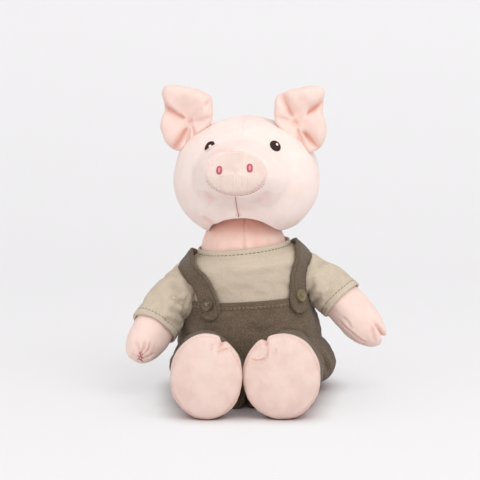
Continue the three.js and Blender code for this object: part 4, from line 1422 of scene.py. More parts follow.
@dataclass
class Dungarees:
    """The body of the dungarees with its turned top edge, its two straps and their buttons."""

    wardrobe: Wardrobe
    waist: float = 71.5
    grow: float = 4.0
    strap_width: float = 17.0
    strap_thick: float = 3.0
    seam_share: float = 0.74
    button_radius: float = 4.7
    button_thick: float = 2.2
    button_inset: float = 12.0
    hole_radius: float = 0.62
    hole_place: float = 1.2
    strap_tables: dict[Side, tuple[tuple[float, float], ...]] = field(
        default_factory=lambda: {
            Side.LEFT: (
                (60, -46), (68, -42), (78, -38.5), (87, -36), (94, -31), (98.2, -19),
                (99.6, -2), (98.4, 20), (95, 42), (87, 58), (76, 68), (61.5, 73),
            ),
            Side.RIGHT: (
                (57.5, -119.5), (67, -123.5), (78, -128.5), (88, -134.5), (95, -144), (99.2, -158),
                (100.4, -178), (99, -200), (95, -222), (87, -238), (76, -248), (61.5, -253),
            ),
        }
    )
    strap_section: tuple[tuple[float, float], ...] = (
        (-1.0, 0.0), (-1.0, 0.5), (-0.975, 0.8), (-0.9, 0.97), (-0.8, 1.0), (-0.65, 1.0), (-0.5, 1.0),
        (-0.3, 1.0), (0.0, 1.0), (0.3, 1.0), (0.5, 1.0), (0.65, 1.0), (0.8, 1.0), (0.9, 0.97),
        (0.975, 0.8), (1.0, 0.5), (1.0, 0.0), (0.5, -0.1), (-0.5, -0.1),
    )

    def make_body(self) -> Piece:
        """The body, from the seat to the turned top edge.

        Returns:
            The body.
        """
        seat = [(0.0, -16.0), (0.0, -6.0), (0.0, 0.5), (0.9, 3.0)]
        wall = [(z, self.grow) for z in np.linspace(3.5, self.waist - 0.7, 36)]
        lip = [(self.waist + z, grow) for z, grow in ((0.2, 3.6), (0.1, 2.3), (-3, 2.0), (-8, 1.9))]
        profile = np.array(seat + wall + lip)
        body = sewn("dungarees_body_cloth", TORSO.rings(profile[:, 0], profile[:, 1], 124))
        z = read_points(body)[:, 2]
        held = np.maximum(1 - smoothstep(z, 1.5, 9), smoothstep(z, 62, 66))
        return Stuffing(pressure=3.5, frames=20, most=2.2, shrink=-0.05, caps=1).fill(body, held)

    def shape_body(self, body: Piece) -> None:
        """Adds the turned edge, the side seams and the folds.

        Args:
            body: The body of the dungarees.
        """
        shaped = Sculptor(body)
        below = TORSO.around(self.waist - 6.0, self.grow)
        shaped.seam(below, 0.45, 0.7, lip=0.15, pucker=0.3, pitch=3.0, fade=0)
        for start, degrees, depth, lip in ((4, -2, 0.8, 0.35), (4, 180, 0.8, 0.35), (3, 90, 0.7, 0.3)):
            line = TORSO.upright(range(start, 66, 6), degrees, self.grow)
            shaped.seam(line, depth, 0.9, lip=lip, pucker=0.35)
        shaped.folds(FOLDS_ON_BODY, 0.35, fade=8)
        z = shaped.points[:, 2]
        shaped.rumple(1.1, 24, 2.2, smoothstep(z, 3, 14) * smoothstep(70 - z, 0, 10))
        shaped.done()

    def strap_course(self, side: Side) -> tuple[Array, Array, Array]:
        """The middle line under a strap, the way across it and the way out of it.

        Args:
            side: Which strap.

        Returns:
            Points, ways across and ways out, a millimetre or so apart.
        """
        on_dungarees, on_shirt = 3.9, 1.7
        rows = []
        for i, (z, degrees) in enumerate(self.strap_tables[side]):
            share = float(smoothstep(np.array(z), self.waist, self.waist + 12))
            place, facing = TORSO.place(z, degrees, on_dungarees + (on_shirt - on_dungarees) * share)
            rows.append((i, *place, *facing))
        fine = smooth_table(rows)(np.linspace(0, len(rows) - 1, 220))
        lengths = run_along(fine[:, :3])
        even = np.linspace(0, lengths[-1], 150)
        course = np.stack([np.interp(even, lengths, fine[:, k]) for k in range(6)], axis=1)
        along = unit(np.gradient(course[:, :3], axis=0))
        across = unit(np.cross(along, course[:, 3:]))
        return course[:, :3], across, np.cross(across, along)

    def make_strap(self, side: Side) -> tuple[Piece, list[Array]]:
        """A flat band over one shoulder, with a rounded front end.

        Args:
            side: Which strap.

        Returns:
            The strap and the lines of its two seams.
        """
        places, across, out = self.strap_course(side)
        run, half = run_along(places), self.strap_width / 2
        round_end = np.sqrt(np.clip(half**2 - np.clip(half - run, 0, half) ** 2, 0.05, None))
        width = np.where(run < half, np.maximum(round_end, 0.22 * half), half)
        width *= 1 + 0.012 * np.sin(run / 5.0)

        def beside(share: float, rise: float) -> Array:
            """A line along the strap, at a share of its half width and of its thickness."""
            return places + across * (share * width)[:, None] + out * (rise * self.strap_thick)

        rings = np.stack([beside(share, rise) for share, rise in self.strap_section], axis=1)
        strap = sewn(f"{side.word}_strap_band", rings)
        subdivide(strap, 1)
        shaped = Sculptor(strap)
        lines = [beside(share, 1.0)[6:-2] for share in (-self.seam_share, self.seam_share)]
        for line in lines:
            shaped.seam(line, 0.45, 0.55, lip=0.12, pucker=0.3, pitch=2.6, fade=2)
        shaped.rumple(0.35, 9, 3.0 + side.value)
        return shaped.done(), lines

    def mould_button(self, name: str) -> Piece:
        """A round button with a raised rim and four holes, flat on the ground.

        Args:
            name: Its name.

        Returns:
            The button.
        """
        only()
        radius, thick = self.button_radius * MM, self.button_thick * MM
        bpy.ops.mesh.primitive_cylinder_add(
            vertices=64, radius=radius, depth=thick, location=(0, 0, thick / 2)
        )
        button = bpy.context.object
        button.name = button.data.name = name
        bpy.ops.object.transform_apply(location=True, rotation=True, scale=True)
        bpy.ops.object.mode_set(mode="EDIT")
        bpy.ops.mesh.select_all(action="DESELECT")
        shape = bmesh.from_edit_mesh(button.data)
        for face in shape.faces:
            face.select_set(face.normal.z > 0.9)
        bmesh.update_edit_mesh(button.data)
        for inset, drop in ((0.1, 0.0), (0.12, 0.32), (0.14, 0.08)):
            bpy.ops.mesh.inset(thickness=inset * radius)
            bpy.ops.transform.translate(value=(0, 0, -drop * thick))
        bpy.ops.object.mode_set(mode="OBJECT")
        apply_modifier(button, "BEVEL", width=0.3 * MM, segments=3, limit_method="ANGLE", angle_limit=0.6)
        for x, y in ((1, 1), (1, -1), (-1, 1), (-1, -1)):
            only()
            bpy.ops.mesh.primitive_cylinder_add(
                vertices=20, radius=self.hole_radius * MM, depth=4 * thick,
                location=(x * self.hole_place * MM, y * self.hole_place * MM, 0),
            )
            drill = bpy.context.object
            apply_modifier(button, "BOOLEAN", object=drill, operation="DIFFERENCE", solver="EXACT")
            bpy.data.objects.remove(drill)
        only(button)
        bpy.ops.object.shade_smooth_by_angle(angle=math.radians(35))
        return button

    def cross_thread(self, name: str) -> Piece:
        """The thread that crosses in a button's holes.

        Args:
            name: Its name.

        Returns:
            The thread.
        """
        strands = []
        for degrees, rise in ((45, 0.45), (135, 0.75)):
            c, s = math.cos(math.radians(degrees)), math.sin(math.radians(degrees))
            for shift in (-0.28, 0.28):
                line = [
                    (c * x - s * shift, s * x + c * shift, 0.72 * self.button_thick + lift)
                    for x, lift in ((-2.0, -0.9), (-1.6, 0.1), (0.0, rise), (1.6, 0.1), (2.0, -0.9))
                ]
                strands.append(tube(smooth_line(line, 0.25), 0.3, 8))
        return joined(name, strands)

    def make_button(self, side: Side) -> tuple[Piece, Piece]:
        """A button and its thread, on the end of a strap.

        Args:
            side: Which strap.

        Returns:
            The button and its thread.
        """
        places, _, out = self.strap_course(side)
        i = int(np.searchsorted(run_along(places), self.button_inset))
        seat = places[i] + out[i] * (self.strap_thick + 0.1)
        turn = Vector(out[i]).to_track_quat("Z", "Y").to_matrix().to_4x4()
        button = self.mould_button(f"{side.word}_button_disc")
        thread = self.cross_thread(f"{side.word}_button_thread")
        for piece in (button, thread):
            piece.data.transform(Matrix.Translation(Vector(seat * MM)) @ turn)
            piece.data.update()
        return button, thread

    def build(self) -> None:
        """Makes the body, the straps, the buttons and the stitching."""
        body, pale = self.make_body(), self.wardrobe.pale_thread
        self.shape_body(body)
        dress(body, Slot.TWILL, self.wardrobe.twill, "dungarees_body")
        ride("torso", body)
        for name, drop in (("upper", 4.0), ("lower", 5.2)):
            line = TORSO.around(self.waist - drop, self.grow + 0.4)
            row = TOPSTITCH.sew(f"bib_stitches_{name}", line, body)
            ride("torso", dress(row, Slot.TWILL, pale))
        for side in Side:
            strap, lines = self.make_strap(side)
            dress(strap, Slot.TWILL, self.wardrobe.twill, f"{side.word}_strap")
            ride("torso", strap)
            for word, line in zip(("outer", "inner"), lines):
                name = f"{side.word}_strap_stitches_{word}"
                row = StitchRow(length=2.0, gap=0.8, thick=0.4).sew(name, line, strap)
                ride("torso", dress(row, Slot.TWILL, self.wardrobe.dark_thread))
            button, thread = self.make_button(side)
            dress(button, Slot.BUTTON, self.wardrobe.button, f"{side.word}_button")
            dress(thread, Slot.BUTTON, pale)
            ride("torso", button, thread)


def tube(line: Array, radius: float, sides: int) -> Piece:
    """A round thread or roll along a line.

    Args:
        line: Its middle.
        radius: Its radius.
        sides: Points round it.

    Returns:
        The tube.
    """
    along = unit(np.gradient(line, axis=0))
    across = np.zeros_like(along)
    last = np.cross(along[0], [0.3, 0.2, 1.0])
    for i, way in enumerate(along):
        last = unit(last - way * (last @ way))
        across[i] = last
    turn = np.linspace(0, 2 * np.pi, sides, endpoint=False)[None, :, None]
    share = np.linspace(0, 1, len(line))
    size = radius * np.clip(np.sqrt(1 - (2 * share - 1) ** 12), 0.3, 1)
    spokes = across[:, None] * np.cos(turn) + np.cross(along, across)[:, None] * np.sin(turn)
    return sewn("thread", line[:, None, :] + size[:, None, None] * spokes)


def ball_rings(radius: float, sides: int) -> Array:
    """The rounded top of a limb, from its crown down."""
    turn = np.linspace(0.9, 0.0, 10) * math.pi / 2
    return ovals(0, 0, radius * np.sin(turn), radius * np.cos(turn), radius * np.cos(turn), sides)


def dome_sizes(power: float) -> tuple[Array, Array, Array]:
    """The step, the size and the rise of each ring of a shallow dome, from its edge to its crown."""
    steps = np.linspace(0, 1, 20)
    return steps, np.cos(steps * math.pi / 2 * 0.985), np.sin(steps * math.pi / 2) ** power


@dataclass
class Arm(OwnFrame):
    """An arm of stuffed plush with a cleft tip, in its sleeve. Its root is the shoulder."""

    wardrobe: Wardrobe
    side: Side
    root: tuple[float, float, float]
    outward: float
    forward: float
    bow: float
    sleeve_share: float
    cleft_shift: float
    split: float
    length: float = 78.0
    radius: float = 15.4
    shoulder_radius: float = 14.8
    hem_height: float = 5.0
    shares: tuple[tuple[float, ...], ...] = (
        (0.0, 0.96, 0.96, 0.0), (0.2, 0.96, 0.95, 0.62), (0.42, 0.97, 0.95, 1.0), (0.6, 1.0, 0.95, 0.98),
        (0.76, 0.95, 0.9, 0.85), (0.87, 0.8, 0.78, 0.85), (0.95, 0.55, 0.56, 0.95),
        (0.985, 0.34, 0.36, 1.05), (1.0, 0.16, 0.14, 1.1),
    )

    @property
    def turn(self) -> Matrix:
        """How the arm is turned at the shoulder."""
        swing = Matrix.Rotation(-math.radians(self.forward), 3, "X")
        return swing @ Matrix.Rotation(-self.side.value * math.radians(self.outward), 3, "Y")

    def rings(self, shares: Array, grow: Array | float, sides: int) -> Array:
        """Rings round the arm.

        Args:
            shares: Distance along it.
            grow: How far they stand off the plush.
            sides: Points round a ring.

        Returns:
            Rings in the arm's own frame.
        """
        sizes = smooth_table(self.shares)(shares)
        x = self.side.value * sizes[:, 2] * self.bow
        wide, deep = sizes[:, 0] * self.radius + grow, sizes[:, 1] * self.radius + grow
        return ovals(x, 0, -shares * self.length, wide, deep, sides)

    def make_skin(self) -> Piece:
        """The plush of the arm.

        Returns:
            The arm.
        """
        sides, hem_z = 72, -self.sleeve_share * self.length
        shares = np.concatenate([np.linspace(0.05, 0.9, 40), [0.925, 0.95, 0.97, 0.985, 0.995]])
        rings = np.concatenate([ball_rings(self.shoulder_radius, sides), self.rings(shares, 0.0, sides)])
        arm = sewn(f"{self.side.word}_arm_plush", self.placed(rings))
        inside = smoothstep(self.local(read_points(arm))[:, 2], hem_z - 5, hem_z + 3)
        return Stuffing(pressure=3.0, frames=14, most=1.0).fill(arm, np.maximum(inside, 0.2))

    def split_tip(self, shaped: Sculptor) -> None:
        """Parts the tip into two toes.

        Args:
            shaped: The plush of the arm.
        """
        local = self.local(shaped.points)
        tip_x = self.side.value * (self.bow + self.cleft_shift)
        near = smoothstep(-local[:, 2], self.length - 13, self.length - 1)
        notch = bump(local[:, 0] - tip_x, 2.0)
        local[:, 2] += self.split * near * notch
        local[:, 1] *= 1 - 0.2 * near * notch
        shaped.points = self.placed(local)
        # painted shade in the cleft between the two toes
        shaped.paint_shade(min(0.6, self.split) * near * bump(local[:, 0] - tip_x, 1.3))
        for face in (-1, 1) if self.split else ():
            line = [(tip_x, face * 9.0, -self.length + 6), (tip_x * 0.97, face * 13.0, -self.length + 17)]
            shaped.seam(self.placed(line), 0.9, 0.9, lip=0.4, fade=3)

    def make_sleeve(self) -> Piece:
        """The sleeve, with its turned hem.

        Returns:
            The sleeve.
        """
        sides, end = 80, self.sleeve_share
        hem = end - self.hem_height / self.length
        shares = np.concatenate([np.linspace(0.05, hem, 22), np.linspace(hem, end - 0.006, 7)[1:]])
        turned_in = np.array([(0.0, 2.3), (0.0, 1.3), (0.01, 0.7), (0.06, 0.5), (0.14, 0.4)])
        top = ball_rings(self.shoulder_radius + 1.7, sides)
        outside = self.rings(shares, 2.3 + 0.5 * smoothstep(shares, hem - 0.05, hem), sides)
        lip = self.rings(end - turned_in[:, 0], turned_in[:, 1], sides)
        rings = self.placed(np.concatenate([top, outside, lip]))
        sleeve = sewn(f"{self.side.word}_sleeve_cloth", rings)
        z, hem_z = self.local(read_points(sleeve))[:, 2], -hem * self.length
        held = np.maximum(smoothstep(z, -8, 2), smoothstep(-z, -hem_z - 4, -hem_z))
        return Stuffing(pressure=2.5, frames=18, most=1.5, shrink=-0.05, caps=1).fill(sleeve, held)

    def hem_line(self, rise: float) -> Array:
        """A line round the sleeve, a little above its edge."""
        share = np.array([self.sleeve_share - rise / self.length])
        return closed_line(self.placed(self.rings(share, 2.9, 120)[0]))

    def build(self) -> None:
        """Makes the arm, its sleeve and the hem's stitches."""
        word = self.side.word
        arm, sleeve = self.make_skin(), self.make_sleeve()
        shaped = Sculptor(arm)
        self.split_tip(shaped)
        shaped.folds(FOLDS_ON_HANDS[self.side], 0.5, pucker=0.3, fade=3)
        shaped.rumple(0.7, 13, 1.0 + self.side.value)
        shaped.done()
        cloth = Sculptor(sleeve)
        cloth.seam(self.hem_line(self.hem_height), 0.35, 0.6, lip=0.12, pucker=0.3, fade=0)
        cloth.folds(FOLDS_ON_SLEEVES[self.side], 0.4, fade=6)
        cloth.rumple(0.6, 15, 2.0 + self.side.value)
        cloth.done()
        dress(arm, Slot.PLUSH, self.wardrobe.plush, f"{word}_arm_skin", f"{word}_arm_filling")
        dress(sleeve, Slot.JERSEY, self.wardrobe.jersey, f"{word}_sleeve")
        row = StitchRow(length=2.0, gap=0.9, thick=0.42).sew(
            f"{word}_sleeve_stitches", self.hem_line(self.hem_height - 0.4), sleeve
        )
        pieces = [arm, sleeve, dress(row, Slot.JERSEY, self.wardrobe.dark_thread)]
        if self.side is Side.RIGHT:
            pieces.append(self.make_knot(arm))
        self.bend("torso", f"{word}_arm", 4.0, -20.0, *pieces)

    def make_knot(self, arm: Piece) -> Piece:
        """The crossed threads that gather the tip of the hand.

        Args:
            arm: The finished plush of the arm.

        Returns:
            The knot.
        """
        strands = [tube(FRONT.drawn(arm, marks), 0.5, 8) for marks in KNOT_ON_HAND]
        knot = joined(f"{self.side.word}_hand_knot", strands)
        return dress(knot, Slot.PLUSH, self.wardrobe.seam_thread)


@dataclass
class Leg(OwnFrame):
    """A leg of stuffed plush with a cleft foot and a sole, in its trouser leg. Its root is the hip."""

    wardrobe: Wardrobe
    side: Side
    root: tuple[float, float, float]
    inward: float
    length: float = 87.0
    thigh_radius: float = 25.0
    radius: float = 22.7
    floor: float = 24.5
    foot_wide: float = 26.2
    foot_high: float = 30.0
    trouser_length: float = 52.0
    hem_height: float = 8.0
    cleft_turn: float = math.radians(24)
    sole_share: float = 0.962
    sole_back_share: float = 0.93
    sole_seam_share: float = 0.965
    sole_bulge: float = 6.4
    sole_border: float = 0.9
    shares: tuple[tuple[float, ...], ...] = (
        (0.0, 0.0, 0.0), (0.3, -0.1, -0.05), (0.52, -0.35, -0.12), (0.68, -0.25, -0.02), (0.8, 0.7, 0.75),
        (0.88, 1.0, 1.0), (0.94, 0.97, 0.97), (0.957, 0.75, 0.82), (0.968, -0.2, 0.4), (1.0, -3.0, -1.0),
    )

    @property
    def turn(self) -> Matrix:
        """How the leg is turned at the hip."""
        lie = Matrix.Rotation(-math.pi / 2, 3, "X")
        return lie @ Matrix.Rotation(self.side.value * math.radians(self.inward), 3, "Y")

    @property
    def foot_middle(self) -> float:
        """How far the foot's middle stands from the leg's axis, with the foot on the floor."""
        return self.floor - self.foot_high

    def rings(self, shares: Array, sides: int) -> Array:
        """Rings round the leg in its own frame, flat where they rest on the floor.

        Args:
            shares: Distance along it.
            sides: Points round a ring.

        Returns:
            Rings in the leg's own frame.
        """
        sizes = smooth_table(self.shares)(shares)
        high = self.radius + (self.foot_high - self.radius) * sizes[:, 1]
        wide = self.radius + (self.foot_wide - self.radius) * sizes[:, 0]
        lift = np.maximum(0, high - self.floor)
        return ovals(0, -lift, -shares * self.length, wide, high, sides)

    def on_floor(self, points: Array) -> Array:
        """Points no lower than the floor."""
        return np.maximum(points, [-np.inf, -np.inf, 0.0])

    def make_skin(self) -> Piece:
        """The plush of the leg.

        Returns:
            The leg.
        """
        sides = 96
        shares = np.concatenate([np.linspace(0.06, 0.9, 34), [0.925, 0.94, 0.95, 0.957, 0.963, 0.968]])
        rings = np.concatenate([ball_rings(self.radius, sides), self.rings(shares, sides)])
        leg = sewn(f"{self.side.word}_leg_plush", self.placed(rings))
        z = self.local(read_points(leg))[:, 2]
        held = np.maximum(smoothstep(z, -self.trouser_length - 4, -self.trouser_length + 4), 0.15)
        return Stuffing(pressure=3.0, frames=14, most=1.0).fill(leg, held)

    def make_sole(self) -> Piece:
        """The sole: an oval of plush, domed by the filling.

        Returns:
            The sole.
        """
        sides, border = 110, self.sole_border
        _, size, dome = dome_sizes(0.9)
        wide, high = (self.foot_wide - border) * size, (self.foot_high - border) * size
        depth = -self.length * self.sole_share - self.sole_bulge * dome
        back = np.array([[-self.length * self.sole_back_share], [0.8 * wide[0]], [0.8 * high[0]]])
        depth, wide, high = np.hstack([back, [depth, wide, high]])
        rings = ovals(0, self.foot_middle, depth, wide, high, sides)
        sole = sewn(f"{self.side.word}_sole_plush", self.placed(rings))
        subdivide(sole, 2)
        return sole

    def split_toe(self, shaped: Sculptor) -> None:
        """Draws in the tuck that parts the toes at the top of the foot.

        Args:
            shaped: The plush of the leg or of the sole.
        """
        local, deep = self.local(shaped.points), 2.6
        turn = self.side.value * self.cleft_turn
        c, s = math.cos(turn), math.sin(turn)
        x, y = local[:, 0], local[:, 1] - self.foot_middle
        across = x * c - y * s
        up = -(x * s + y * c)
        foot = smoothstep(-local[:, 2], self.length - 24, self.length - 12)
        edge = smoothstep(up, self.foot_high - 13, self.foot_high - 1)
        lower = up - deep * bump(across, 1.8) * foot * edge
        local[:, 0] = across * c - lower * s
        local[:, 1] = -across * s - lower * c + self.foot_middle
        shaped.points = self.placed(local)
        # painted shade in the tuck between the toes
        shaped.paint_shade(0.5 * bump(across, 1.2) * foot * edge)

    def make_trouser(self) -> Piece:
        """The trouser leg, with its turned hem.

        Returns:
            The trouser leg.
        """
        sides, end = 96, self.trouser_length
        hem = end - self.hem_height
        turned_in = np.array([(0.0, 0.1), (0.0, -1.0), (1.0, -1.6), (6.0, -1.9)])
        thigh, cuff = np.linspace(3, hem, 20), np.linspace(hem, end - 0.6, 7)[1:]
        out = np.concatenate([thigh, cuff, end - turned_in[:, 0]])
        wide = self.thigh_radius + np.concatenate([0 * thigh, 0 * cuff + 0.5, turned_in[:, 1]])
        rings = ovals(0, 0, -out, wide, wide, sides)
        low = np.clip(rings[..., 1] / self.thigh_radius, 0, 0.985)
        inner = rings[..., 0] * self.side.value < 0
        power = np.where(inner, 5.0, 2.7)
        square = (1 - low**power) ** (1 / power) / np.sqrt(1 - low**2)
        rings[..., 0] *= square * np.where(inner, 1 + 0.08 * smoothstep(low, 0, 0.5), 1.0)
        top = ball_rings(self.thigh_radius, sides)
        trouser = sewn(f"{self.side.word}_trouser_cloth", self.placed(np.concatenate([top, rings])))
        z = -self.local(read_points(trouser))[:, 2]
        held = np.maximum(1 - smoothstep(z, -2, 8), smoothstep(z, hem - 3, hem))
        return Stuffing(pressure=3.0, frames=18, most=1.6, shrink=-0.05, caps=1).fill(trouser, held)

    def hem_line(self, rise: float) -> Array:
        """A line round the trouser leg, a little above its edge.

        Args:
            rise: How far above the edge.

        Returns:
            The line.
        """
        radius = self.thigh_radius + 0.6
        ring = ovals(0, 0, np.array([-self.trouser_length + rise]), radius, radius, 120)[0]
        return self.on_floor(closed_line(self.placed(ring)))

    def shape_skin(self, leg: Piece) -> None:
        """Adds the cleft and the seam round the sole.

        Args:
            leg: The plush of the leg.
        """
        shaped = Sculptor(leg)
        self.split_toe(shaped)
        z = np.array([-self.length * self.sole_seam_share])
        edge = ovals(0, self.foot_middle, z, self.foot_wide - 0.8, self.foot_high - 0.8, 120)[0]
        shaped.seam(closed_line(self.placed(edge)), 0.8, 0.9, lip=0.3, pucker=0.3, fade=0)
        shaped.rumple(0.6, 14, 4.0 + self.side.value)
        shaped.points = self.on_floor(shaped.points)
        shaped.done()

    def shape_sole(self, sole: Piece) -> None:
        """Adds the cleft and its creases.

        Args:
            sole: The sole.
        """
        shaped = Sculptor(sole)
        self.split_toe(shaped)
        shaped.folds(FOLDS_ON_SOLES[self.side], 0.6, pucker=0.2, fade=2.5)
        shaped.rumple(1.0, 17, 5.0 + self.side.value)
        shaped.done()

    def shape_trouser(self, trouser: Piece) -> None:
        """Adds the hem, the outer seam and soft hollows.

        Args:
            trouser: The trouser leg.
        """
        shaped = Sculptor(trouser)
        shaped.seam(self.hem_line(self.hem_height), 0.4, 0.7, lip=0.15, pucker=0.3, fade=0)
        outside = self.side.value * (self.thigh_radius + 0.2)
        seam = self.placed([(outside, 0, -z) for z in range(2, 50, 4)])
        shaped.seam(smooth_line(seam), 0.7, 0.8, lip=0.3, pucker=0.35)
        shaped.rumple(1.0, 17, 6.0 + self.side.value)
        shaped.points = self.on_floor(shaped.points)
        shaped.done()

    def build(self) -> None:
        """Makes the leg, its sole, its trouser leg and the stitches."""
        word = self.side.word
        leg, sole, trouser = self.make_skin(), self.make_sole(), self.make_trouser()
        self.shape_skin(leg)
        self.shape_sole(sole)
        self.shape_trouser(trouser)
        dress(leg, Slot.PLUSH, self.wardrobe.sole, f"{word}_leg_skin", f"{word}_leg_filling")
        dress(sole, Slot.SOLE, self.wardrobe.sole, f"{word}_sole")
        dress(trouser, Slot.TWILL, self.wardrobe.twill, f"{word}_trouser_leg")
        pieces = [leg, sole, trouser]
        for name, rise in (("upper", self.hem_height - 0.6), ("lower", self.hem_height - 1.8)):
            row = TOPSTITCH.sew(f"{word}_trouser_stitches_{name}", self.hem_line(rise), trouser)
            pieces.append(dress(row, Slot.TWILL, self.wardrobe.pale_thread))
        self.bend("torso", f"{word}_leg", 6.0, -26.0, *pieces)


@dataclass
class Neck:
    """The ball of plush that the head sits over."""

    wardrobe: Wardrobe
    radius: float = 32.0
    creases: tuple[tuple[float, float], ...] = ((-14, 2), (11, -2), (-22, 3), (21, -3))

    def build(self) -> None:
        """Makes the neck."""
        turn = np.radians(np.concatenate([[-14.0], np.linspace(-13, 72, 34), [80.0, 87.0]]))
        wide = self.radius * np.cos(turn)
        neck = sewn("neck_plush", ovals(0, 0, self.radius * np.sin(turn), wide, wide, 112) + CENTRE)
        subdivide(neck, 1)
        shaped = Sculptor(neck)
        arc, reach = np.radians(np.linspace(-8, 62, 14)), self.radius + 0.1
        for x, face in ((0.4, -1), (0, 1)):
            line = [(x, face * reach * math.cos(a), reach * math.sin(a)) for a in arc]
            shaped.seam(smooth_line(CENTRE + np.array(line)), 0.8, 0.8, lip=0.3, pucker=0.3)
        for x, lean in self.creases:
            y = -math.sqrt(self.radius**2 - x**2)
            line = CENTRE + np.array([(x, y, 2), (x + lean, y * 0.98, 9), (x + lean, y * 0.9, 15)])
            shaped.seam(smooth_line(line), 0.35, 1.6, lip=0.15)
        # painted shade: the plush darkens towards the top of the ball, under the chin
        shaped.paint_shade(0.72 * smoothstep(shaped.points[:, 2] - CENTRE[2], 10, 25))
        shaped.rumple(0.3, 14, 0.7)
        shaped.done()
        # the neck wears the painted-shade copy of the plush
        dress(neck, Slot.PLUSH, self.wardrobe.shade, "neck")
        ride("neck", neck)


@dataclass(frozen=True)
class HeadForm(OwnFrame):
    """The head's sizes and its own frame, at the middle of the neck's ball."""

    yaw: float = math.radians(-7)
    shift: float = 2.0
    bottom: float = 15.0
    height: float = 87.0
    half_width: float = 55.0
    half_depth: float = 46.0
    chin_radius: float = 36.5
    chin_top: float = 29.5
    socket_radius: float = 32.5
    reach: float = 66.0
    base: float = 22.0
    muzzle_height: float = 65.0
    droop: float = 7.0
    snout_wide: float = 22.0
    snout_high: float = 15.6
    shares: tuple[tuple[float, ...], ...] = (
        (0.0, 0.42, 0.5), (0.025, 0.57, 0.62), (0.07, 0.7, 0.74), (0.13, 0.81, 0.83), (0.2, 0.895, 0.9),
        (0.3, 0.965, 0.96), (0.4, 1.0, 1.0), (0.51, 0.995, 1.0), (0.62, 0.955, 0.98), (0.7, 0.9, 0.94),
        (0.78, 0.81, 0.86), (0.85, 0.69, 0.74), (0.92, 0.5, 0.55), (0.965, 0.33, 0.36), (1.0, 0.08, 0.09),
    )
    muzzle: tuple[tuple[float, ...], ...] = (
        (0.0, 1.7, 1.8, 1.0), (0.3, 1.6, 1.72, 0.85), (0.55, 1.44, 1.52, 0.55), (0.75, 1.26, 1.3, 0.3),
        (0.9, 1.12, 1.12, 0.1), (1.0, 1.0, 0.98, 0.0),
    )

    @property
    def root(self) -> Array:
        """The middle of the neck's ball."""
        return CENTRE

    @property
    def turn(self) -> Matrix:
        """How the head is turned on the neck."""
        return Matrix.Rotation(self.yaw, 3, "Z")

    @property
    def look(self) -> Vector:
        """The way straight back into the face."""
        return Vector(self.turn @ Vector((0, 1, 0)))

    def on_snout(self, p: Array) -> Array:
        """How far out points of the own frame lie over the snout: 0 in its middle, 1 at its edge."""
        x, z = p[:, 0] - self.shift, p[:, 2] - self.muzzle_height
        return np.hypot(x / self.snout_wide, z / self.snout_high)

    def oval(self, wide: float, high: float, reach: float, start: float, end: float) -> Array:
        """Part of an upright oval in front of the face, from one angle in degrees to another.

        Args:
            wide: Half its width.
            high: Half its height.
            reach: How far out in front it lies.
            start: Where it starts.
            end: Where it ends.

        Returns:
            The line.
        """
        a = np.radians(np.linspace(start, end, 70))
        x, z = self.shift + wide * np.cos(a), self.muzzle_height + high * np.sin(a)
        return self.placed(np.column_stack([x, np.full_like(x, -reach), z]))


HEAD = HeadForm()


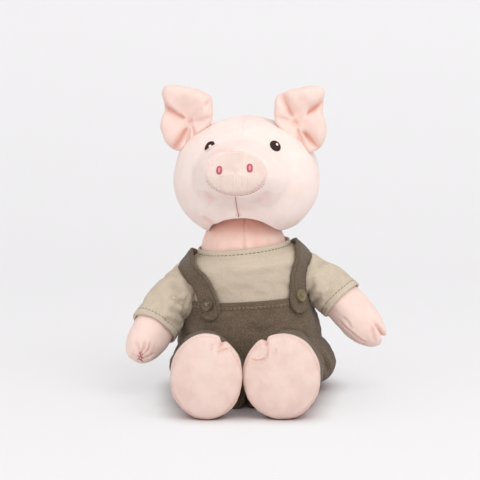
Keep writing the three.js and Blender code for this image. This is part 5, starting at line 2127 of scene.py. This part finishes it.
@dataclass
class Head:
    """The head with its jowls and muzzle, the snout panel and the embroidered face."""

    wardrobe: Wardrobe
    form: HeadForm = HEAD
    seam_depth: float = 1.1
    thread_pitch: float = 0.55
    jowl: tuple[float, float, float] = (27.0, -36.0, 41.0)
    jowl_swell: float = 1.6
    crown_middle: float = 58.0
    crown_radius: float = 60.0
    eye_middle: tuple[float, float] = (0.9, 81.4)
    eye_reach: float = 24.0
    eye_rise: float = 0.45
    eye_size: tuple[float, float] = (4.15, 4.55)
    nostril_middle: tuple[float, float] = (-0.8, 2.9)
    nostril_reach: float = 10.85
    nostril_rise: float = 0.9
    nostril_size: tuple[float, float] = (2.1, 3.1)

    def make_skin(self) -> Piece:
        """Skull and muzzle as one stuffed skin, hollow under the chin and round the neck.

        Returns:
            The head.
        """
        f = self.form
        shares = np.concatenate([np.linspace(0, 0.97, 40), [0.985, 1.0]])
        sizes = smooth_table(f.shares)(shares)
        z, wide, deep = f.bottom + shares * f.height, sizes[:, 0] * f.half_width, sizes[:, 1] * f.half_depth
        skull = ovals(f.shift, 0, z, wide, deep, 96)
        steps, sides = np.linspace(0, 1, 18), 80
        m = smooth_table(f.muzzle)(steps)
        flat = ovals(f.shift, 0, 0 * steps, m[:, 0] * f.snout_wide, m[:, 1] * f.snout_high, sides)
        out = np.repeat((f.base + (f.reach - f.base) * steps)[:, None], sides, axis=1)
        rise = flat[..., 1] + f.muzzle_height - f.droop * m[:, 2][:, None]
        muzzle = np.stack([flat[..., 0], -out, rise], axis=-1)
        forms = [sewn("skull", f.placed(skull)), sewn("muzzle", f.placed(muzzle))]
        head = fused("head_plush", forms, cell=3.2, soften=12)
        points = f.local(read_points(head))
        held = np.maximum(1 - smoothstep(points[:, 2], 22, 34), bump(points[:, 1] + f.reach, 10))
        return Stuffing(pressure=3.0, frames=16, most=1.5, rounds=2).fill(head, held)

    def hollow(self, shaped: Sculptor) -> None:
        """Presses the chin up over the neck and seats the head on the neck's ball.

        Args:
            shaped: The head's skin.
        """
        f = self.form
        p = f.local(shaped.points)
        dx, dz = p[:, 0] - f.shift, p[:, 2] - (f.chin_top - f.chin_radius)
        away = np.hypot(dx, dz)
        push = np.clip(f.chin_radius - away, 0, None) * smoothstep(-p[:, 1], -14, 4)
        p[:, 0] += dx / np.maximum(away, 1e-6) * push
        p[:, 2] += dz / np.maximum(away, 1e-6) * push
        ball = np.linalg.norm(p, axis=1)
        inside = ball < f.socket_radius
        p[inside] *= (f.socket_radius / ball[inside])[:, None]
        seat = 1 - smoothstep(f.on_snout(p), 0.75, 0.97)
        p[:, 1] += 3.0 * seat * smoothstep(-p[:, 1], f.reach - 6, f.reach - 3)
        shaped.points = f.placed(p)

    def shape_skin(self, head: Piece) -> None:
        """Adds the jowls, the seams and the plush that stands round the right eye.

        Args:
            head: The head's skin.
        """
        f, shaped = self.form, Sculptor(head)
        across, front, rise = self.jowl
        for side in (-1, 1):
            jowl = f.placed(np.array([f.shift + side * across, front, rise]))
            shaped.push(self.jowl_swell * bump(np.linalg.norm(shaped.points - jowl, axis=1), 15))
        self.hollow(shaped)
        write_points(head, shaped.points)
        mouth = FRONT.drawn(head, MOUTH_SEAM)
        shaped.seam(mouth, 1.6, 7.0, fade=6)
        # the wide valley lays no painted shade; the narrow seam after it does
        shaped.fold[:] = 0
        shaped.seam(mouth, self.seam_depth, 1.0, lip=0.5, pucker=0.25, fade=1.5)
        rim = f.oval(f.snout_wide * 0.99, f.snout_high * 0.99, f.reach, 0, 360)
        shaped.seam(rim, 1.0, 1.6, fade=0)
        arc, middle, radius = np.radians(range(35, 175, 6)), self.crown_middle, self.crown_radius
        crown = f.placed([(f.shift, -radius * math.cos(a), middle + radius * math.sin(a)) for a in arc])
        surface = tree_of(head)
        crown = [np.array(surface.find_nearest(Vector(p * MM))[0]) / MM for p in crown]
        shaped.seam(np.array(crown), 0.25, 0.8, lip=0.15)
        shaped.folds(FOLDS_ON_FACE, 0.7, fade=4)
        shaped.rumple(0.9, 26, 0.4)
        shaped.done()

    def pressed(self, piece: Piece, points: Array) -> Array:
        """Points in front of the face, pressed straight back on to a piece.

        Args:
            piece: The piece.
            points: The points.

        Returns:
            Places on the piece.
        """
        surface = tree_of(piece)
        hits = [surface.ray_cast(Vector(p * MM), self.form.look)[0] for p in points]
        return np.array([np.array(h) / MM for h in hits if h is not None])

    def make_snout(self) -> Piece:
        """The oval panel on the end of the muzzle.

        Returns:
            The panel.
        """
        f = self.form
        steps, size, dome = dome_sizes(0.85)
        flat = ovals(f.shift, 0, 0 * steps, f.snout_wide * size, f.snout_high * size, 112)
        upper = smoothstep(flat[..., 1] / f.snout_high / np.maximum(size, 0.02)[:, None], -0.45, 0.75)
        soft = (1 - np.cos(steps * math.pi)) / 2
        rise = dome[:, None] * (1 - upper) + (soft[:, None] * 1.1 - 0.55) * upper
        reach = f.reach - 1.2 + 4.0 * rise
        rings = np.stack([flat[..., 0], -reach, flat[..., 1] + f.muzzle_height], axis=-1)
        middle = np.array([f.shift, 0, f.muzzle_height])
        back = (rings[:1] + [0, 6, 0] - middle) * [0.85, 1, 0.85] + middle
        snout = sewn("snout_plush", f.placed(np.concatenate([back, rings])))
        subdivide(snout, 1)
        shaped = Sculptor(snout)
        p = f.local(shaped.points)
        lower, oval = smoothstep(f.muzzle_height - p[:, 2], 0, 9), f.on_snout(p)
        grain = np.sin(p[:, 0] * 2.9 + 0.8 * np.sin(p[:, 2] * 0.5)) + 0.6 * np.sin(p[:, 0] * 1.6 + 1.0)
        inside = (1 - smoothstep(oval, 0.55, 0.98)) * smoothstep(oval, 0.03, 0.15)
        shaped.push(0.16 * grain * (0.55 + 0.6 * lower) * inside)
        angle = np.arctan2(p[:, 2] - f.muzzle_height, p[:, 0] - f.shift)
        shaped.push(-0.3 * bump(1 - oval, 0.13) * (0.5 + 0.5 * np.cos(angle * 38)) * (0.3 + lower))
        # painted shade along the lower edge of the panel
        shaped.paint_shade(0.5 * bump(1 - oval, 0.05) * lower)
        return shaped.done()

    def patch(
        self, name: str, cloth: Piece, centre: Sequence[float], outline: Array,
        stand: float, way: float,
    ) -> Piece:
        """A patch of satin stitches that lies on a cloth.

        Args:
            name: Its name.
            cloth: What it is sewn on.
            centre: Its middle, in front of the face in the head's own frame.
            outline: Reach across and up for each point of its edge, from its middle.
            stand: How high it stands.
            way: Direction of the threads in degrees.

        Returns:
            The patch.
        """
        surface, look = tree_of(cloth), self.form.look
        before = self.form.placed(np.array(centre) - [0, 20, 0])
        place, facing, _, _ = surface.ray_cast(Vector(before * MM), look)
        facing = (facing * 0.6 - look * 0.4).normalized()
        right = Vector((0, 0, 1)).cross(facing).normalized()
        up = facing.cross(right).normalized()
        c, s = math.cos(math.radians(way)), math.sin(math.radians(way))
        rings = []
        for share in (1.04, 1.0, 0.94, 0.86, 0.76, 0.66, 0.56, 0.46, 0.36, 0.26, 0.16, 0.06):
            rise = stand * math.sqrt(max(0.0, 1 - (share / 1.04) ** 3))
            row = []
            for x, z in outline * share:
                start = place + (right * x + up * z + facing * 4) * MM
                hit = surface.ray_cast(start, -facing)[0] or place + (right * x + up * z) * MM
                ridge = 0.5 + 0.5 * math.cos(2 * math.pi * (x * s - z * c) / self.thread_pitch)
                lift = rise + 0.16 * ridge * (rise > 0.05) - (0.25 if share > 1.0 else 0.0)
                row.append(np.array(hit) / MM + np.array(facing) * lift)
            rings.append(row)
        base = np.array(rings[:1]) - np.array(facing) * 0.6
        return sewn(name, np.concatenate([base, rings]))

    def make_face(self, head: Piece, snout: Piece) -> list[Piece]:
        """The embroidered eyes, with their glints, and the nostrils.

        Args:
            head: The head's skin.
            snout: The snout panel.

        Returns:
            The pieces of embroidery.
        """
        f, made, thread = self.form, [], self.wardrobe
        angle = np.linspace(0, 2 * np.pi, 72, endpoint=False)
        circle = np.column_stack([np.cos(angle), np.sin(angle)])
        for side in Side:
            word, way = side.word, side.value
            eye, hole = f"{word}_eye", f"{word}_nostril"
            x, z = self.eye_middle
            centre = np.array([f.shift + x + way * self.eye_reach, -f.half_depth, z + self.eye_rise * way])
            outline, glint, glint_at = circle * self.eye_size, circle * [1.1, 1.4], [0.9, 0, 0.7]
            if side is Side.RIGHT:
                lid = np.array([0.55, -0.835])
                outline = outline - np.outer(np.clip(outline @ lid - 0.7, 0, None), lid) + [0.0, 0.3]
                glint, glint_at = circle * [1.1, 1.3], [1.0, 0, 0.4]
            x, z = self.nostril_middle
            z += f.muzzle_height
            spot = np.array([f.shift + x + way * self.nostril_reach, -f.reach, z + self.nostril_rise * way])
            edge = np.sign(circle) * np.abs(circle) ** 0.85 * self.nostril_size
            patches = (
                (f"{eye}_stitches", head, centre, outline, 1.0, 20, Slot.EYE, thread.eye, eye),
                (f"{eye}_glint", head, centre + glint_at, glint, 1.45, 70, Slot.EYE, thread.glint),
                (f"{hole}_stitches", snout, spot, edge, 0.7, 0, Slot.NOSTRIL, thread.rose, hole),
                (f"{hole}_middle", snout, spot, circle * [1.1, 2.1], 1.1, 90, Slot.NOSTRIL, thread.pale_rose),
            )
            made += [dress(self.patch(*row[:6]), *row[6:]) for row in patches]
        return made

    def build(self) -> None:
        """Makes the head, its snout, its face and its stitches."""
        f, brown = self.form, self.wardrobe.seam_brown
        head, snout = self.make_skin(), self.make_snout()
        self.shape_skin(head)
        face = self.make_face(head, snout)
        dress(head, Slot.PLUSH, self.wardrobe.face, "head_skin", "head_filling")
        dress(snout, Slot.SOLE, self.wardrobe.snout, "snout_panel")
        rim = self.pressed(head, f.oval(f.snout_wide + 0.7, f.snout_high + 0.7, f.reach + 20, -160, -26))
        rim_row = StitchRow(length=1.9, gap=0.35, thick=0.36, sink=0.12).sew("snout_stitches", rim, head)
        mouth = FRONT.drawn(head, MOUTH_SEAM)
        mouth_row = StitchRow(length=2.3, gap=0.1, thick=0.46, sink=0.1).sew("mouth_stitches", mouth, head)
        stitches = [dress(row, Slot.PLUSH, brown) for row in (rim_row, mouth_row)]
        ride("head", head, snout, *stitches, *face)


@dataclass
class Ear(OwnFrame):
    """An ear: a folded leaf of plush, pinched by one stitch with creases that run out from it."""

    wardrobe: Wardrobe
    side: Side
    spacing: float = 71.5
    shift: float = 0.5
    rise: float = 87.0
    back: float = -9.0
    lean: float = math.radians(4)
    reach: float = 31.0
    half_thick: float = 5.2
    front_thick: float = 9.0
    stitch: tuple[float, float] = (2.3, 10.5)
    outline: tuple[tuple[float, float], ...] = (
        (5, 0.72), (28, 0.71), (42, 0.84), (51, 1.0), (58, 1.04), (66, 0.985), (82, 0.865), (98, 0.785),
        (118, 0.765), (131, 0.785), (138, 0.74), (149, 0.61), (166, 0.53), (182, 0.5), (200, 0.44),
        (228, 0.38), (258, 0.42), (284, 0.58), (297, 0.79), (312, 0.81), (329, 0.81), (348, 0.78),
        (365, 0.72),
    )

    @property
    def creases(self) -> tuple[tuple[float, ...], ...]:
        """Direction in degrees, width above and below it, depth, and the share where it starts.

        Returns:
            A row for each crease.
        """
        if self.side is Side.RIGHT:
            return (
                (36, 5, 17, 0.95, 0.1), (306, 8, 10, 0.95, 0.1), (283, 5, 6, 0.6, 0.2),
                (255, 10, 9, 0.5, 0.15), (172, 14, 10, 0.4, 0.1), (137, 6, 6, 0.45, 0.6),
            )
        return (
            (119, 9, 12, 0.8, 0.1), (41, 8, 8, 0.95, 0.3), (316, 11, 7, 1.0, 0.25),
            (292, 9, 8, 0.6, 0.1), (168, 12, 12, 0.35, 0.15),
        )

    @property
    def turn(self) -> Matrix:
        """How the ear leans on the head."""
        return Matrix.Rotation(self.side.value * self.lean, 3, "Y")

    @property
    def root(self) -> tuple[float, float, float]:
        """Where the ear is sewn on, in the head's own frame."""
        return (self.shift + self.side.value * self.spacing / 2, self.back, self.rise)

    def placed(self, points: Array) -> Array:
        """Points of the ear's own frame, where they stand on the toy."""
        return HEAD.placed(super().placed(points))

    def local(self, points: Array) -> Array:
        """Points on the toy in the ear's own frame, with the outer side always to the right."""
        return super().local(HEAD.local(points)) * [self.side.value, 1, 1]

    def edge(self, degrees: Array) -> Array:
        """Distance from the stitch to the ear's edge, for each direction from the stitch."""
        start = self.outline[0][0]
        return smooth_table(self.outline)(start + (degrees - start) % 360)[:, 0] * self.reach

    def kept(self, degrees: Array, share: Array) -> Array:
        """How much of its height the front keeps beside the creases.

        Args:
            degrees: Direction from the stitch.
            share: Distance from the stitch, as a share of the reach.

        Returns:
            One where no crease draws it in, down to zero.
        """
        kept = np.ones(len(degrees))
        for at, above, below, depth, start in self.creases:
            away = (degrees - at + 540) % 360 - 180
            width = np.where(away > 0, above, below) * (1.5 - 0.7 * share)
            drawn = depth * smoothstep(share, start, start + 0.2)
            kept *= 1 - drawn * np.exp(-np.abs(away / width) ** 1.5)
        return kept

    def leaf(self) -> Array:
        """The leaf's surface, from the middle of its back over the rim to the middle of its front.

        Returns:
            Rings in the ear's own frame.
        """
        degrees = np.linspace(0, 360, 168, endpoint=False)
        turn = np.radians(degrees)
        edge = self.edge(degrees) * (1 + 0.012 * np.sin(turn * 7 + 1))
        shares = np.concatenate([np.linspace(0.02, 0.9, 26), [0.94, 0.97, 0.99, 1.0]])
        rings = []
        for front, run in ((False, shares), (True, shares[::-1][1:])):
            for share in run:
                y = np.full(len(degrees), self.half_thick)
                if front:
                    low = 0.06 + 0.1 * share
                    kept = self.kept(degrees, np.full(len(degrees), share))
                    swell = self.front_thick * (low + (1 - low) * kept * share**0.8)
                    y = -swell - 3.0 * share**2 * bump(degrees - 100, 50)
                reach, rim = edge * share, (1 - share**6) ** 0.5
                x, z = self.stitch[0] + reach * np.cos(turn), self.stitch[1] + reach * np.sin(turn)
                rings.append(np.column_stack([x, y * rim, z]))
        return np.array(rings) * [self.side.value, 1, 1]

    def shape(self, ear: Piece) -> None:
        """Marks painted shade in the creases and at the pinch, and adds soft hollows.

        Args:
            ear: The ear.
        """
        shaped = Sculptor(ear)
        local = self.local(shaped.points)
        across, up = local[:, 0] - self.stitch[0], local[:, 2] - self.stitch[1]
        degrees = np.degrees(np.arctan2(up, across)) % 360
        share = np.clip(np.hypot(across, up) / self.edge(degrees), 0, 1)
        drawn = 1 - self.kept(degrees, share)
        # painted shade in the creases on the front of the ear
        shaped.paint_shade(0.9 * drawn**1.6 * (local[:, 1] < 0.5) * (1 - 0.5 * smoothstep(share, 0.8, 1.0)))
        knot = self.placed(np.array([self.stitch[0] * self.side.value, -1.0, self.stitch[1]]))
        # painted shade at the pinch of the stitch
        shaped.paint_shade(0.5 * bump(np.linalg.norm(shaped.points - knot, axis=1), 3.0))
        shaped.rumple(0.9, 12, 7.0 + self.side.value)
        shaped.done()

    def build(self) -> None:
        """Makes the ear."""
        ear = sewn(f"{self.side.word}_ear_plush", self.placed(self.leaf()))
        low = read_points(ear)[:, 2] < self.placed(np.zeros(3))[2] + 4
        Stuffing(pressure=1.5, frames=6, most=0.5).fill(ear, np.where(low, 1.0, 0.35))
        self.shape(ear)
        dress(ear, Slot.PLUSH, self.wardrobe.plush, f"{self.side.word}_ear")
        self.bend("head", f"{self.side.word}_ear", -3.0, 8.0, ear)


@dataclass
class Tail:
    """A curl of stuffed tube behind the seat."""

    wardrobe: Wardrobe
    radius: float = 3.2
    curl: float = 6.5
    pitch: float = 8.0
    turns: float = 1.3
    stem: float = 10.0
    height: float = 27.0

    def build(self) -> None:
        """Makes the tail."""
        turn = np.linspace(0, self.turns * 2 * math.pi, 60)
        out = self.stem + self.pitch * turn / (2 * math.pi)
        curl = np.column_stack([self.curl * np.sin(turn), out, self.curl * (1 - np.cos(turn))])
        line = smooth_line(np.vstack([[(0, -4, 0), (0, 3, 0)], curl[::6]]))
        tail = tube(TORSO.place(self.height, 90, 0.0)[0] + line, self.radius, 24)
        tail.name = tail.data.name = "tail_plush"
        subdivide(tail, 1)
        shaped = Sculptor(tail)
        shaped.rumple(0.4, 7, 2.4)
        shaped.done()
        dress(tail, Slot.PLUSH, self.wardrobe.plush, "tail")
        ride("tail", tail)


@dataclass
class Studio:
    """A plain pale floor that curves up into a backdrop, soft lamps and the camera."""

    view: View = FRONT
    key: float = 9.0
    fill: float = 2.4
    room: float = 0.76
    half_floor: float = 40.0
    floor_end: float = 0.5
    sweep_radius: float = 0.8
    wall_top: float = 3.0
    shadow_reach: float = 0.022

    def lamp(self, name: str, place: tuple[float, float, float], size: float, power: float) -> None:
        """Hangs a soft square lamp that looks at the toy.

        Args:
            name: Its name.
            place: Where it hangs, in metres.
            size: Width in metres.
            power: Watts.
        """
        data = bpy.data.lights.new(name, "AREA")
        data.size, data.energy = size, power
        lamp = bpy.data.objects.new(name, data)
        lamp.location = place
        lamp.rotation_euler = (Vector((0, -0.03, 0.1)) - Vector(place)).to_track_quat("-Z", "Y").to_euler()
        lamp.visible_camera = False
        bpy.context.scene.collection.objects.link(lamp)

    def floor_finish(self) -> Material:
        """The floor's paint: soft contact shadows, a glow that the camera sees, and clear from behind.

        Returns:
            The material.
        """
        material, net = start_material("pale_floor")
        # painted contact shadow: near the toy the floor turns reddish brown, standing for its shadow and the
        # pink light it throws
        near = net.node("AmbientOcclusion", {"Distance": self.shadow_reach})["AO"]
        open_air = net.level(near, 0.1, 0.9)
        tone = net.mix(open_air, linear(150, 112, 102), linear(238, 237, 238))
        paint = net.dress({"Base Color": tone, "Roughness": 0.8, "Specular IOR Level": 0.1})
        path = net.node("LightPath")
        seen = net.sum("MAXIMUM", path["Is Camera Ray"], path["Is Glossy Ray"])
        height = net.node("SeparateXYZ", {0: net.node("TexCoord")["Object"]})[2]
        # painted light: the glow grows a little brighter higher up the backdrop
        level = net.node("MapRange", {"Value": height, "From Max": 0.25, "To Min": 1.0, "To Max": 1.08})[0]
        glow = net.node("Emission", {"Color": linear(248, 247, 248), "Strength": level})[0]
        # painted shadow: the glow fades near the toy
        share = net.sum("MULTIPLY", seen, net.sum("MULTIPLY", open_air, 0.5))
        front = net.node("MixShader", {0: share, 1: paint, 2: glow})[0]
        behind = net.sum("MULTIPLY", path["Is Camera Ray"], net.node("NewGeometry")["Backfacing"])
        clear = net.node("BsdfTransparent")[0]
        surface = net.node("MixShader", {0: behind, 1: front, 2: clear})[0]
        net.give(net.tree.nodes["Material Output"].inputs["Surface"], surface)
        return material

    def floor(self) -> None:
        """Lays the floor and its backdrop."""
        radius, arc = self.sweep_radius, np.linspace(0.05, math.pi / 2, 24)
        sweep = [(-self.half_floor, 0.0), (0.0, 0.0), (self.floor_end, 0.0)]
        sweep += [(self.floor_end + radius * math.sin(a), radius * (1 - math.cos(a))) for a in arc]
        sweep += [(self.floor_end + radius, self.wall_top)]
        points = np.array([(x, y, z) for y, z in sweep for x in (-self.half_floor, self.half_floor)])
        faces = [(2 * i, 2 * i + 1, 2 * i + 3, 2 * i + 2) for i in range(len(sweep) - 1)]
        floor = new_piece("floor", points / MM, faces)
        floor.data.materials.append(self.floor_finish())

    def build(self) -> None:
        """Sets up the studio."""
        scene = bpy.context.scene
        scene.view_settings.view_transform = "Standard"
        self.floor()
        self.lamp("key_lamp", (0.55, -0.75, 1.25), 1.1, self.key)
        self.lamp("left_lamp", (-1.0, -0.9, 0.7), 1.0, self.fill)
        self.lamp("front_lamp", (0.1, -1.6, 0.45), 0.9, self.fill)
        world = bpy.data.worlds.new("room")
        world.use_nodes = True
        light = world.node_tree.nodes["Background"].inputs
        light["Color"].default_value = linear(250, 249, 250)
        light["Strength"].default_value = self.room
        scene.world = world
        data = bpy.data.cameras.new("camera")
        data.sensor_width = 36.0
        data.lens = data.sensor_width * self.view.distance / self.view.frame_width
        camera = bpy.data.objects.new("camera", data)
        camera.location = Vector(self.view.eye * MM)
        camera.rotation_euler = (math.pi / 2 - self.view.rise, 0, 0)
        scene.collection.objects.link(camera)
        scene.camera = camera


ARMS = {
    Side.LEFT: dict(
        root=(42.5, -17.0, 87.0), outward=42.5, forward=25.5, bow=6.0,
        sleeve_share=0.445, cleft_shift=3.0, split=5.5,
    ),
    Side.RIGHT: dict(
        root=(-42.5, -17.0, 81.0), outward=29.0, forward=38.5, bow=4.4,
        sleeve_share=0.62, cleft_shift=0.0, split=0.0,
    ),
}
LEGS = {
    Side.LEFT: dict(root=(30.0, -38.0, 24.5), inward=4.9, foot_wide=27.2),
    Side.RIGHT: dict(root=(-29.6, -38.0, 24.5), inward=0.05, foot_wide=25.1),
}


def main() -> None:
    """Builds the studio and then the pig, piece by piece."""
    logging.basicConfig(level=logging.INFO, format="%(message)s")
    Studio().build()
    wardrobe = Wardrobe()
    parts = [kind(wardrobe) for kind in (StuffedBody, Shirt, Dungarees, Neck, Head)]
    parts += [Ear(wardrobe, side) for side in Side]
    parts += [Arm(wardrobe, side, **ARMS[side]) for side in Side]
    parts += [Leg(wardrobe, side, **LEGS[side]) for side in Side]
    parts += [Tail(wardrobe)]
    for part in parts:
        log.info("building %s", type(part).__name__)
        part.build()


if __name__ == "__main__":
    main()
